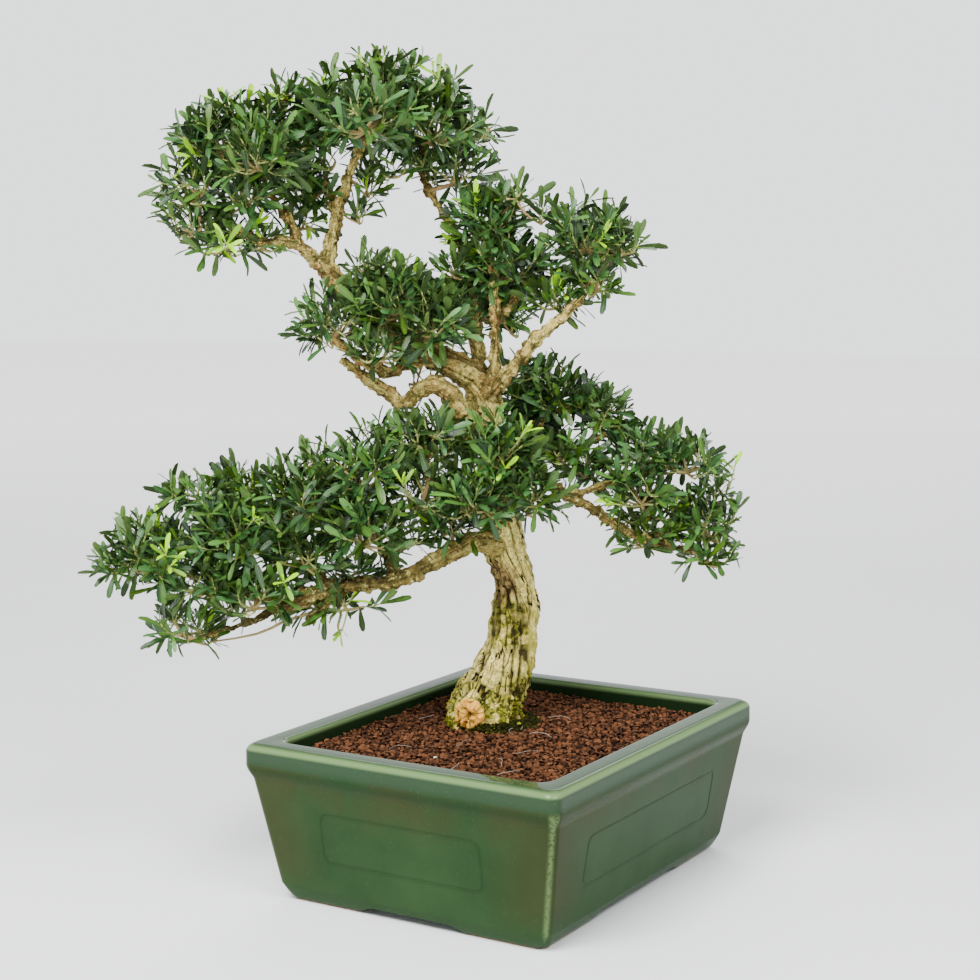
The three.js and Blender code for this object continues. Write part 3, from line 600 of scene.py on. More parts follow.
for _ in range(FINE_ROOTS):
    start = Vector((draw.uniform(-0.85, 0.85) * soil_half.x, draw.uniform(-0.85, 0.85) * soil_half.y))
    heading = draw.uniform(0, math.tau)
    outlines = []
    for share in shares(8):
        heading += draw.uniform(-0.5, 0.5)
        lift = 1.2 * math.sin(share * math.pi) + 1.6
        spot = Vector((start.x, start.y, soil_height(*start) + lift))
        side = Vector((-math.sin(heading), math.cos(heading), 0))
        outlines.append([spot + FINE_ROOT_RADIUS * (math.cos(turn) * side + math.sin(turn) * upright)
                         for turn in (0, math.tau / 3, 2 * math.tau / 3)])
        start += FINE_ROOT_STEP * Vector((math.cos(heading), math.sin(heading)))
        start = within_soil(*start)
    root = bmesh.new()
    pale = root.verts.layers.float.new("pale")
    loft(root, outlines)
    bmesh.ops.recalc_face_normals(root, faces=root.faces)
    for vert in root.verts:
        vert[pale] = FINE_ROOT_PALENESS
    add_mesh(bm, root)
soil_grains = finished("soil_grains", bm, POT_PLACE, 50)

granules = Finish("clay_granules", {"Roughness": 0.95, "Specular IOR Level": 0.08})
spot = granules.place()
tone = granules.attribute("tone")
mottle = granules.noise(spot, 1.4, detail=4, roughness=0.65)
upward = granules.axis(granules.node("NewGeometry", {}, {}, output="Normal"), "Z")
brown = granules.mix(tone, colour(36, 20, 12), colour(110, 69, 43))
brown = granules.mix(granules.step(mottle, 0.45, 0.75) * 0.4, brown, colour(134, 96, 68))
# Granules darken on the sides that turn away from the sky: painted shade in the gaps between them.
brown = granules.mix(granules.step(upward, 0.85, -0.1) * 0.85, brown, colour(16, 8, 5))
brown = granules.mix(granules.attribute("pale"), brown, colour(222, 205, 188))
granules.drive("Base Color", brown)
granules.relief(granules.noise(spot, 0.7, detail=4, roughness=0.7), 0.35)
# The bed has no tone of its own and so takes the darkest brown: painted shade for the gaps between
# granules.
dress(soil_bed, granules, ["soil"])
dress(soil_grains, granules)

# The tree is one piece of wood: a trunk that rises in an S, its limbs, and the stub of a sawn
# branch. Its cream bark is split into long plates by dark furrows on the trunk and is knobbly on the
# limbs, with moss at the foot. The furrows' darkness is partly the bark's own and partly painted
# shade, the yellow-green moss up the trunk's right side is partly painted light, and the low limbs
# are darkened partly with painted shade. Each limb is a list of points (across, away, up, radius).
TREE_TURN = math.radians(31.7)
TREE_PLACE = (POT_PLACE @ Matrix.Translation((TREE_X, TREE_Y, 0))
              @ Matrix.Rotation(TREE_TURN, 4, "Z"))
TRUNK = [
    (-3, 0, 62, 25), (-3, 0, 80, 25.5), (-3, 0, 92, 25), (-1, 0, 104, 21.8), (5, 0, 116, 18.4),
    (12, 0, 134, 15.9), (14, 0, 150, 14.5), (16, 0, 165, 14.6), (15, 0, 182, 12.8), (11, 0, 197, 12.4),
    (9, 0, 211, 12), (7, 0, 230, 11.5), (5, 0, 249, 11), (3, 0, 268, 10.5), (0, 0, 284, 10),
    (-3, 0, 298, 10), (-8, 0, 309, 9.5), (-20, 0, 318, 9), (-41, 5, 327, 8.2), (-57, 8, 336, 7.8),
    (-73, 5, 351, 7.4), (-83, 0, 360, 7), (-94, -3, 371, 6.5), (-103, -5, 381, 5.5),
]
STUB = [(-6, -6, 104, 11), (-12, -20, 103, 9.5), (-14, -27, 102, 9)]
LIMBS = {
    "stem_left": [(-2, -4, 268, 7), (-16, -14, 288, 6.8), (-30, -20, 307, 6), (-42, -20, 305, 5.2),
                  (-52, -20, 297, 4.8), (-62, -18, 303, 4.4), (-74, -14, 310, 3.8), (-91, -5, 323, 2.6)],
    "loop_left": [(-30, 0, 322, 5.5), (-47, -12, 323, 5), (-60, -20, 315, 4.6), (-70, -22, 320, 4.2),
                  (-81, -24, 326, 3.4), (-95, -26, 338, 2.2)],
    "crown_left": [(-101, -5, 377, 4.6), (-117, -10, 394, 3.8), (-137, -18, 396, 3.2),
                   (-156, -20, 404, 2.4)],
    "crown_left_top": [(-115, -10, 392, 3.2), (-129, 2, 417, 2.8), (-145, 8, 432, 2.2)],
    "crown_right": [(-101, -5, 378, 4.8), (-94, 0, 407, 4), (-85, 5, 439, 3.4), (-73, 10, 466, 2.4)],
    "crown_back": [(-93, 2, 410, 3.2), (-100, 18, 430, 2.6), (-104, 26, 448, 2)],
    "centre_high": [(-8, 2, 308, 5), (-6, 6, 327, 4.2), (-8, 12, 359, 3.6), (-21, 18, 402, 3),
                    (-39, 22, 432, 2.6), (-39, 20, 456, 2)],
    "centre": [(0, -2, 300, 4.6), (4, -6, 325, 3.8), (4, -4, 365, 3), (-1, 6, 392, 2.2)],
    "right_high": [(-2, -2, 298, 5), (17, -12, 319, 4.4), (32, -20, 338, 3.8), (53, -26, 357, 3.2),
                   (72, -22, 380, 2.2)],
    "right_high_back": [(4, -5, 345, 3.2), (28, 10, 369, 2.8), (51, 16, 373, 2.4), (74, 18, 386, 1.8)],
    "right_low": [(5, 0, 228, 5.6), (19, -6, 253, 4.6), (35, -14, 246, 4), (50, -18, 237, 3.6),
                  (71, -22, 226, 3.2), (94, -24, 211, 2.6), (126, -18, 203, 2)],
    "right_low_tip": [(88, -24, 214, 2.6), (104, -16, 214, 2.2), (130, -4, 226, 1.7)],
    "right_middle": [(5, 2, 248, 4.6), (22, 10, 256, 3.8), (51, 18, 264, 3), (78, 20, 272, 2.2)],
    "right_front": [(48, -18, 238, 2.8), (76, -16, 246, 2.4), (104, -8, 258, 1.8)],
    "right_back": [(3, 3, 262, 4.4), (19, 14, 273, 3.6), (35, 22, 283, 2.9), (54, 26, 292, 2.2)],
    "left_low": [(11, 0, 203, 7.4), (-1, -12, 208, 6.6), (-12, -24, 210, 6.2), (-36, -42, 200.5, 5.4),
                 (-58, -52, 191, 4.4), (-96, -58, 188, 3.8), (-134, -56, 181, 3.2), (-176, -50, 194, 2)],
    "left_low_front": [(-94, -58, 188, 3), (-120, -64, 178, 2.6), (-150, -66, 167, 2.2),
                       (-177, -64, 158, 1.6)],
    "left_near_up": [(-56, -51, 191, 3.6), (-67, -40, 213, 3), (-78, -34, 244, 2.2)],
    "left_far_up": [(-96, -58, 187, 3.2), (-112, -50, 204, 2.7), (-135, -36, 224, 2)],
    "left_back": [(-66, -41, 211, 2.6), (-84, -24, 222, 2.3), (-102, -14, 230, 1.8)],
    "front_low": [(9, 0, 218, 4.8), (6, -16, 231, 4), (0, -30, 238, 3.4), (-14, -46, 236, 2.2)],
    "front_left": [(1, -28, 238, 3), (-20, -42, 246, 2.6), (-38, -44, 254, 2)],
    "front_high": [(4, -3, 256, 4), (6, -20, 264, 3.2), (12, -34, 258, 2.2)],
    "nub_low": [(-88, -56, 187, 3.4), (-100, -54, 178, 3.6), (-108, -52, 170, 3.2), (-113, -52, 166, 2.6)],
    "nub_crown": [(-112, -9, 389, 3), (-118, -10, 400, 3), (-121, -10, 408, 2.6)],
    "back_low": [(8, 1, 222, 4.8), (12, 22, 238, 3.8), (18, 46, 250, 2.9), (18, 62, 256, 2)],
    "back_high": [(-4, 2, 306, 4.6), (-8, 22, 328, 3.6), (-14, 44, 340, 2.8), (-16, 58, 348, 2)],
}
LIMB_GNARL = 0.25
WOOD_VOXEL = 1.05
BARK_TWIST = 0.012
FURROW_PITCH = 6.2
FURROW_SHARE = 0.055
CRACK_PITCH = 2.8
MOSS_PATCH = Vector((7, -14, 157))
SCAR = Vector((2, -8, 180))
BARK_VALUES = ("furrow", "moss", "sawn", "young", "scar")
WAVER_SHIFTS = [Vector((9.3, -1.5, -8)), Vector((0, 0, 0)), Vector((5.8, 2.9, 11.4))]


class Station:
    """A place on a limb's centre line, with its direction, radius and distance from the root."""

    def __init__(self, spot, radius):
        self.spot = spot
        self.radius = radius

    def ring(self, sides):
        turns = [corner / sides * math.tau for corner in range(sides)]
        return [self.spot + self.radius * (math.cos(turn) * self.across + math.sin(turn) * self.side)
                for turn in turns]


def blend_points(before, start, end, after, share):
    """A smooth curve's place between start and end, for points of any length."""
    place = []
    for a, b, c, d in zip(before, start, end, after):
        rise = (c - a) / 2
        fall = (d - b) / 2
        place.append(b + share * (rise + share * (3 * (c - b) - 2 * rise - fall
                                                  + share * (2 * (b - c) + rise + fall))))
    return place


def waver(place):
    """A smooth uneven vector for a place, the same on each run."""
    return Vector([noise.noise(place + shift) for shift in WAVER_SHIFTS])


def route(points, spacing, gnarl=0):
    """Stations along a smooth curve through a limb's points, which gnarl makes uneven."""
    stations = []
    for order in range(len(points) - 1):
        before = points[max(order - 1, 0)]
        start, end = points[order], points[order + 1]
        after = points[min(order + 2, len(points) - 1)]
        length = (Vector(end[:3]) - Vector(start[:3])).length
        steps = max(1, round(length / spacing))
        last = order == len(points) - 2
        for step in range(steps + last):
            *spot, radius = blend_points(before, start, end, after, step / steps)
            stations.append(Station(Vector(spot), radius))
    for station in stations:
        station.spot += gnarl * station.radius * waver(station.spot / 14)
        station.radius *= 1 + 0.8 * gnarl * noise.noise(station.spot / 9)
    across = Vector((1, 0, 0))
    travelled = 0
    for order, station in enumerate(stations):
        ahead = stations[min(order + 1, len(stations) - 1)]
        behind = stations[max(order - 1, 0)]
        station.along = (ahead.spot - behind.spot).normalized()
        across = (across - across.dot(station.along) * station.along).normalized()
        station.across = across
        station.side = station.along.cross(across)
        travelled += (station.spot - behind.spot).length
        station.travelled = travelled
    return stations


trunk = route(TRUNK, 3.5)
stub = route(STUB, 2.5)
limbs = [route(points, 3, LIMB_GNARL) for points in LIMBS.values()]
bm = bmesh.new()
loft(bm, [station.ring(28) for station in trunk])
loft(bm, [station.ring(20) for station in stub])
for limb in limbs:
    loft(bm, [station.ring(12) for station in limb])
bmesh.ops.recalc_face_normals(bm, faces=bm.faces)
wood = finished("wood_grown", bm, Matrix())
join = wood.modifiers.new("Join", "REMESH")
join.mode = "VOXEL"
join.voxel_size = WOOD_VOXEL
baked(wood)

wood_stations = sum(limbs, trunk + stub)
nearby = KDTree(len(wood_stations))
for order, station in enumerate(wood_stations):
    nearby.insert(station.spot, order)
nearby.balance()


def bark_split(place, around, wander, slender):
    """How far the bark is split: wide furrows that run along the grain, and fine cracks between."""
    spot = Vector((around.x, around.y, FURROW_SHARE * around.z)) + 1.4 * wander
    wide = abs(noise.noise(spot / FURROW_PITCH))
    fine = abs(noise.noise(spot / CRACK_PITCH + Vector((0, 0, 9))))
    patch = noise.noise(place / 15)
    split = (1 - ramp(wide, 0.045, 0.19)) * (0.7 + 0.3 * ramp(patch, -0.3, 0.1))
    return max(split, 0.35 * (1 - ramp(fine, 0.01, 0.1))) * (1 - 0.3 * slender)


def mossiness(place, station, slender):
    """Moss at the foot, up the trunk's right side and on one patch, in ragged tufts; the yellow-green up
    the right side is partly painted light.
    """
    girth = station.radius
    # More yellow-green on the trunk's right side: partly moss, partly painted light from the right.
    right_side_moss_and_light = ramp(place.x - station.spot.x, -0.25 * girth, 0.8 * girth) * ramp(place.z, 205, 150)
    on_patch = ramp((place - MOSS_PATCH).length, 20, 10)
    moss = 1.5 * ramp(place.z, 128, 98) + 0.6 * right_side_moss_and_light * (1 - slender) + 1.4 * on_patch
    tufts = noise.noise(place / 5.5) + 0.35 * noise.noise(place / 2)
    return moss * (1.2 * ramp(tufts, -0.35, 0.2))


def sawn_relief(place):
    """The height of the stub's sawn face, which broke off in blocks, and how deep it is cracked."""
    crack = 1 - ramp(abs(noise.noise(place / 8 + Vector((2.6, 5, 1.3)))), 0.02, 0.09)
    block = math.floor(4 * noise.noise(place / 9 + Vector((7, 0, 4))) + 0.5)
    return 0.9 * block, crack


bm = bmesh.new()
bm.from_mesh(wood.data)
bpy.data.objects.remove(wood)
bmesh.ops.smooth_vert(bm, verts=bm.verts, factor=0.5,
                      use_axis_x=True, use_axis_y=True, use_axis_z=True)
bm.normal_update()
layers = [bm.verts.layers.float.new(name) for name in BARK_VALUES]
grain_layer = bm.verts.layers.float_vector.new("grain")
cut_face = stub[-1]
for vert in bm.verts:
    closest = [wood_stations[order] for _, order, _ in nearby.find_n(vert.co, 8)]
    station = min(closest, key=lambda other: (vert.co - other.spot).length - other.radius)
    offset = vert.co - station.spot
    girth = station.radius
    travelled = station.travelled + offset.dot(station.along)
    turn = math.atan2(offset.dot(station.side), offset.dot(station.across)) + BARK_TWIST * travelled
    slender = max(ramp(girth, 9, 4.5), 0.7 * ramp(vert.co.z, 215, 270))
    around = Vector((girth * math.cos(turn), girth * math.sin(turn), travelled))
    wander = waver(vert.co / 14)
    wander.z *= 0.2
    split = bark_split(vert.co, around, wander, slender)
    moss = mossiness(vert.co, station, slender)
    chips = noise.noise(vert.co / 1.9)
    knobs = noise.noise(vert.co / 4.6)
    lumps = noise.noise(vert.co / (5 + 0.5 * girth))
    ridge = noise.noise(Vector((around.x / 7, around.y / 7, travelled / 60)) + 0.2 * wander)
    scar = ramp((vert.co - SCAR).length + 3 * knobs, 19, 12) * (1 - slender)
    sawn = 0
    if station in stub:
        face_depth = (cut_face.spot - vert.co).dot(cut_face.along) + 0.8 * knobs
        sawn = ramp(face_depth, 2.4, 1.2)
        moss *= 1 - sawn
    pit = ramp(-chips - 0.5 * knobs, 0.05, 0.5)
    push = 0.1 * girth * (lumps + ridge) + (0.9 + 1.3 * slender) * knobs + (0.6 + 0.7 * slender) * chips
    push += 0.06 * girth * (1 - slender)
    push -= (0.6 + 0.11 * girth) * split * (1 - sawn) + (0.8 * pit + 1.2) * scar * (1 - sawn)
    split = max(split, (0.15 + 0.65 * scar) * pit)
    if sawn > 0:
        height, crack = sawn_relief(vert.co)
        push += sawn * (height + 0.5 * chips - 1.8 * crack)
        split = max(split, 0.8 * sawn * crack)
    vert.co += push * vert.normal
    vert[grain_layer] = around
    for layer, value in zip(layers, (split, min(moss, 1), sawn, slender, scar)):
        vert[layer] = value
bmesh.ops.recalc_face_normals(bm, faces=bm.faces)
wood = finished("wood_of_tree", bm, TREE_PLACE, 180)

bark = Finish("cream_bark", {"Roughness": 0.9, "Specular IOR Level": 0.12})
spot = bark.place()
furrow, moss, sawn, young, scar = (bark.attribute(name) for name in BARK_VALUES)
patches = bark.noise(spot, 15, detail=3)
grain = bark.node("Attribute", {"attribute_name": "grain"}, {}, output="Vector")
along_grain = bark.node("Mapping", {}, {"Vector": grain, "Scale": (1, 1, 0.14)})
wavy = bark.node("Mapping", {}, {"Vector": grain, "Scale": (1, 1, 0.12)})
fibres = bark.noise(along_grain, 1.7, detail=5, roughness=0.7)
cracks = bark.step(abs(bark.noise(wavy, 6, detail=2) - 0.5), 0.022, 0.005)
flakes = bark.noise(spot, 3.2, detail=5, roughness=0.7)
mottles = bark.noise(spot, 6.5, detail=5, roughness=0.72)
strands = bark.step(fibres, 0.3, 0.6)
plain = bark.mix(strands, colour(186, 152, 64), colour(255, 242, 144))
plain = bark.mix(young * 0.5, plain, bark.mix(fibres, colour(104, 86, 36), colour(200, 170, 92)))
warm = bark.mix(strands, colour(118, 86, 40), colour(224, 180, 108))
tint = bark.mix(young * bark.step(patches, 0.44, 0.58), plain, warm)
# The low limbs go darker olive: partly their mossy bark, partly painted shade under the foliage.
low_limb_moss_and_shade = young * bark.step(bark.axis(spot, "Z"), 275, 235)
tint = bark.mix(low_limb_moss_and_shade * 0.65, tint, colour(74, 66, 30))
tint = bark.mix(scar * 0.8, tint, bark.mix(fibres, colour(92, 60, 34), colour(186, 142, 98)))
lichen = bark.step(flakes + 0.3 * patches, 0.62, 0.74) * (0.6 + 0.3 * young)
tint = bark.mix(lichen, tint, colour(108, 104, 44))
tint = bark.mix(bark.step(flakes, 0.43 + 0.09 * young, 0.33) * 0.9, tint, colour(54, 44, 20))
tint = bark.mix(young * bark.step(mottles, 0.53, 0.43) * 0.8, tint, colour(66, 60, 24))
tint = bark.mix(young * bark.step(flakes, 0.56, 0.64) * 0.7, tint, colour(250, 234, 150))
tint = bark.mix(moss * bark.step(fibres, 0.33, 0.53) * 0.85, tint, colour(164, 164, 24))
thick_moss = bark.step(moss, 0.6, 1) * bark.step(flakes, 0.57, 0.47)
tint = bark.mix(thick_moss * 0.9, tint, colour(50, 56, 20))
wood_end = bark.mix(strands, colour(232, 136, 40), colour(255, 204, 92))
tint = bark.mix(sawn, tint, wood_end)
# Furrows and cracks go dark: partly the bark's own darker crevices, partly painted shade in them.
dark = bark.maths("MAXIMUM", furrow * 0.95, cracks * (1 - 0.6 * young) * (1 - sawn))
tint = bark.mix(dark, tint, colour(30, 22, 9))
bark.drive("Base Color", tint)
bark.relief(0.5 * fibres + 0.6 * flakes - 0.6 * cracks, 2.2, 1)
dress(wood, bark, ["wood"])

# Moss grows round the foot of the trunk: loose cushions on the bark and a dark mound on the soil in
# Each cushion is a small lump of leafy threads, its tone painted light and shade: yellow-green
# higher up the trunk, near black lower down and on the mound.
MOSS_TOP = 110
MOSS_SEED = 5
CUSHION_KINDS = 5
CUSHION_FLATNESS = 0.8
MOUND_START = math.radians(-115)
MOUND_SPAN = math.radians(140)
MOUND_CUSHIONS = 900


def cushion_shape(size):
    """A cushion's size and a turn of its own."""
    turn = Matrix.Rotation(draw.uniform(0, math.tau), 4, "Z")
    return turn @ Matrix.Diagonal((size, size, size * CUSHION_FLATNESS, 1))


draw = random.Random(MOSS_SEED)
cushions = [lump_template("moss_cushion", ["tone"], kind, 0.9, 5, 3.7) for kind in range(CUSHION_KINDS)]
to_tree = TREE_PLACE.inverted()
mossy = wood.data.attributes["moss"].data
bm = bmesh.new()
for order, vert in enumerate(wood.data.vertices):
    spot = to_tree @ vert.co
    if not SOIL_TOP - 1 < spot.z < MOSS_TOP or mossy[order].value < 0.55:
        continue
    if draw.random() > 0.4 * ramp(spot.z, MOSS_TOP, SOIL_TOP + 3):
        continue
    shape = cushion_shape(draw.uniform(0.9, 2.2))
    # Cushions higher on the trunk get a lighter tone: painted light.
    light = ramp(spot.z, SOIL_TOP, MOSS_TOP - 6) * 0.5 + draw.uniform(0, 0.5)
    add_copy(bm, draw.choice(cushions), Matrix.Translation(spot) @ shape, {"tone": light})
for _ in range(MOUND_CUSHIONS):
    share = draw.random()
    turn = MOUND_START + MOUND_SPAN * share
    reach = STUMP_RADIUS + draw.uniform(-3, 9) * (0.35 + 0.65 * math.sin(share * math.pi))
    height = SOIL_TOP + SOIL_CROWN + 3.5 * ramp(reach, STUMP_RADIUS + 8, STUMP_RADIUS - 2)
    size = draw.uniform(1.4, 3)
    spot = Vector((reach * math.cos(turn), reach * math.sin(turn), height + draw.uniform(-1.2, 0.4)))
    shape = cushion_shape(size)
    # Mound cushions are near black: painted shade.
    light = 0.7 if draw.random() < 0.03 else draw.uniform(0, 0.07)
    add_copy(bm, draw.choice(cushions), Matrix.Translation(spot) @ shape, {"tone": light})
drop(cushions)
moss_piece = finished("moss_cushions", bm, TREE_PLACE, 60)

moss_green = Finish("moss_green", {"Roughness": 1.0, "Specular IOR Level": 0.08})
threads = moss_green.noise(moss_green.place(), 0.5, detail=3, roughness=0.7)
tone = moss_green.attribute("tone")
green = moss_green.mix(tone, colour(6, 9, 3), colour(150, 150, 30))
green = moss_green.mix(moss_green.step(threads, 0.45, 0.65) * tone * 0.6, green, colour(186, 184, 70))
moss_green.drive("Base Color", green)
moss_green.relief(threads, 0.5)
dress(moss_piece, moss_green)

# The foliage stands in heads on the limbs' ends. In each head twigs fork out to leafy shoots, with
# narrow leaves in crossed pairs and a tuft of small light ones at the tip. A head is a list of
# lobes (across, away, up, and its three radii) that its shoots fill.
HEADS = {
    "crown_left": [(-161, -5, 460, 35, 30, 28), (-176, -14, 430, 31, 28, 26),
                   (-126, 0, 462, 34, 32, 30), (-148, -10, 425, 27, 26, 22),
                   (-146, 30, 446, 30, 28, 26), (-138, -34, 446, 28, 24, 24),
                   (-178, -18, 406, 28, 20, 17), (-149, -12, 402, 22, 16, 12),
                   (-111, 20, 427, 22, 20, 24), (-117, 12, 408, 17, 16, 15), (-124, 0, 486, 15, 16, 10),
                   (-162, -20, 393, 26, 16, 11), (-138, -14, 394, 18, 14, 10),
                   (-98, 14, 445, 13, 14, 16)],
    "crown_right": [(-94, 4, 474, 29, 32, 29), (-64, 2, 484, 36, 32, 32), (-33, 12, 468, 33, 32, 33),
                    (-20, 18, 438, 25, 24, 22), (-62, 34, 466, 31, 28, 28), (-74, -28, 468, 28, 26, 25),
                    (-75, 20, 430, 10, 12, 22), (-42, 16, 446, 14, 16, 13), (-80, 2, 412, 8, 9, 17),
                    (-57, 10, 438, 10, 12, 9), (-23, 10, 492, 17, 16, 13), (-2, 14, 464, 12, 14, 15)],
    "middle_left": [(-92, -20, 346, 29, 24, 26), (-56, -20, 358, 33, 26, 27),
                    (-34, -26, 345, 27, 22, 27), (-66, -34, 328, 22, 18, 14),
                    (-62, 24, 362, 30, 26, 24), (-78, -10, 380, 13, 14, 10), (-22, 0, 377, 14, 14, 11),
                    (-45, -2, 309, 17, 10, 7)],
    "centre": [(0, 16, 408, 29, 28, 27), (10, 14, 380, 36, 30, 30), (-6, 14, 354, 30, 26, 22),
               (18, 0, 424, 17, 16, 10), (14, 12, 343, 10, 12, 16), (33, -4, 410, 13, 13, 15)],
    "right_high": [(60, -18, 398, 31, 28, 26), (82, -22, 392, 22, 20, 17), (66, -20, 370, 21, 21, 20),
                   (72, 14, 392, 25, 24, 20), (43, -12, 362, 22, 16, 12), (67, -20, 369, 16, 16, 10),
                   (43, -14, 358, 25, 16, 13)],
    "right_middle": [(46, 28, 296, 35, 30, 26), (70, 26, 284, 24, 24, 24), (24, 32, 284, 24, 22, 22),
                     (19, 18, 311, 17, 16, 12), (58, 10, 254, 21, 18, 16), (66, 10, 248, 18, 16, 13)],
    "right_low": [(102, -8, 258, 32, 28, 25), (124, -12, 258, 26, 26, 22), (138, -14, 218, 26, 25, 30),
                  (94, -22, 238, 28, 22, 18), (88, 20, 264, 25, 23, 19), (100, -14, 226, 27, 18, 15),
                  (135, -18, 199, 20, 18, 14), (94, -18, 208, 18, 14, 9), (48, 2, 262, 20, 18, 16),
                  (107, -18, 216, 25, 16, 13), (145, -14, 236, 13, 15, 17)],
    "front": [(-38, -34, 272, 29, 26, 24), (4, -38, 266, 31, 22, 26), (20, -38, 242, 28, 22, 22),
              (-12, -48, 240, 30, 22, 25), (-42, -48, 242, 28, 22, 25), (-24, -32, 222, 24, 18, 16),
              (-51, -40, 213, 22, 16, 13), (25, -16, 228, 13, 12, 9), (-15, -26, 217, 16, 12, 12)],
    "left_near": [(-78, -48, 256, 33, 28, 29), (-76, -60, 222, 29, 24, 26),
                  (-114, -54, 238, 34, 30, 30), (-112, -60, 208, 31, 24, 22),
                  (-98, -18, 234, 30, 24, 24), (-67, -30, 274, 22, 18, 12), (-88, -46, 196, 26, 16, 12),
                  (-106, -42, 264, 15, 16, 13), (-87, -52, 176, 27, 14, 10)],
    "left_far": [(-156, -54, 222, 34, 30, 30), (-198, -52, 206, 35, 28, 26),
                 (-172, -58, 192, 32, 28, 24), (-142, -66, 182, 28, 22, 18),
                 (-186, -62, 166, 22, 20, 18), (-222, -48, 202, 20, 20, 16),
                 (-152, -20, 214, 29, 26, 22), (-176, -44, 244, 30, 22, 14),
                 (-150, -36, 248, 22, 20, 14), (-212, -44, 220, 21, 18, 13),
                 (-224, -50, 200, 17, 16, 12), (-104, -50, 177, 30, 14, 10),
                 (-180, -60, 160, 23, 16, 13), (-130, -52, 193, 19, 16, 12)],
    "back_low": [(16, 62, 262, 32, 28, 23), (-10, 56, 268, 24, 24, 19), (38, 60, 258, 24, 24, 18)],
    "back_high": [(-16, 60, 354, 30, 27, 22), (8, 56, 360, 22, 22, 18), (-42, 54, 352, 23, 23, 18)],
}
SPRING_SHOOTS = {
    "crown_left": [(-158, -42, 397, 0.95), (-156, -44, 393, 0.8), (-161, -10, 482, 0.9),
                   (-124, -4, 484, 0.9)],
    "crown_right": [(-32, -6, 498, 0.9), (-99, -8, 490, 0.8)],
    "left_far": [(-192, -80, 214, 0.8), (-188, -80, 206, 0.65), (-122, -80, 196, 0.75),
                 (-139, -78, 233, 0.55)],
    "left_near": [(-92, -50, 157, 0.6)],
    "front": [(-52, -68, 254, 0.7), (22, -54, 283, 0.85)],
    "right_low": [(75, -34, 235, 0.8), (152, -24, 258, 0.7)],
    "right_high": [(69, -36, 396, 0.8)],
}
OPENNESS = {"crown_left": 0.27, "crown_right": 0.25, "right_low": 0.27}
COMMON_OPENNESS = 0.15
GAP_SIZE = 17
GAP_LEVEL = 0.42
SMALL_LOBE = 8
BARE_TWIGS = [[(-108, -58, 178), (-128, -60, 174), (-148, -61, 168), (-176, -62, 160)],
              [(-104, -56, 174), (-124, -58, 168), (-142, -60, 160), (-168, -62, 156)],
              [(-93, -50, 176), (-91, -49, 170), (-93, -50, 163), (-92, -50, 158)]]
SHOOT_AREA = 134
SHOOT_DEPTHS = [(0.4, 0.75), (0.78, 1), (0.9, 1.24)]
SHOOT_STRAY = 4
LEAFY_LENGTH = 21
LEAF_SPACING = 3.9
LEAF_LENGTH = 16.5
TIP_LEAF_LENGTH = 8.5
TIP_CLEARANCE = 6.5
LEAST_REACH = 6
LOWEST_SHOOT = -0.62
CORE_DROP = 0.3
FORK_SHARE = 0.3
CROWDED = 0.5
SPRING_STEM = 24
BOX_MARGIN = 3 * MM
LEAF_SEED = 7
LEAF_SHAPE = [(0, 0.026), (0.36, 0.08), (0.73, 0.12), (0.94, 0.082)]
LEAF_FOLD = 0.3
LEAF_THICK = 0.022


def leaf_template(bend):
    """A narrow blade one unit long, folded along its midrib and bent, with UV along and across."""
    outlines = []
    for along, half in LEAF_SHAPE + [(1, 0.001)]:
        drop_off = -bend * along * along
        rib = Vector((0, along, drop_off))
        thick = LEAF_THICK * (0.4 + 0.6 * min(1, 4 * half))
        fold = Vector((0, 0, LEAF_FOLD * half))
        outlines.append([rib + Vector((half, 0, 0)) + fold, rib + Vector((0, 0, thick / 2)),
                         rib - Vector((half, 0, 0)) + fold, rib - Vector((0, 0, thick / 2))])
    bm = bmesh.new()
    loft(bm, outlines, closed_tip=True)
    bmesh.ops.recalc_face_normals(bm, faces=bm.faces)
    uv = bm.loops.layers.uv.new("UVMap")
    under = bm.faces.layers.float.new("under")
    for face in bm.faces:
        face[under] = float(face.normal.z < 0)
        for loop in face.loops:
            loop[uv].uv = (0.5 + 3.5 * loop.vert.co.x, loop.vert.co.y)
    return template("leaf", bm, ["tone", "fresh"], sharp_angle=60)


def fan(count, lowest, draw):
    """Directions spread evenly over a sphere from its top down to a lowest height."""
    start = draw.uniform(0, math.tau)
    for turn in range(count):
        height = 1 - (1 - lowest) * (turn + 0.5) / count
        angle = start + turn * math.pi * (3 - math.sqrt(5))
        level = math.sqrt(1 - height * height)
        yield Vector((level * math.cos(angle), level * math.sin(angle), height))


def stretched(direction, radii):
    """A direction drawn out to a lobe's three radii."""
    return Vector((direction.x * radii[0], direction.y * radii[1], direction.z * radii[2]))


def twig(out, start, end, radii, sides, arch, young, draw):
    """Adds a slim curved twig between two places and returns its stations."""
    length = (end - start).length
    sway = length * 0.12
    middle = (start + end) / 2
    middle += Vector((draw.uniform(-sway, sway), draw.uniform(-sway, sway), -arch * length))
    points = [(*start, radii[0]), (*middle, (radii[0] + radii[1]) / 2), (*end, radii[1])]
    stations = route(points, length / 4)
    bm = bmesh.new()
    layer = bm.verts.layers.float.new("young")
    loft(bm, [station.ring(sides) for station in stations])
    bmesh.ops.recalc_face_normals(bm, faces=bm.faces)
    for vert in bm.verts:
        vert[layer] = young
    add_mesh(out, bm)
    return stations


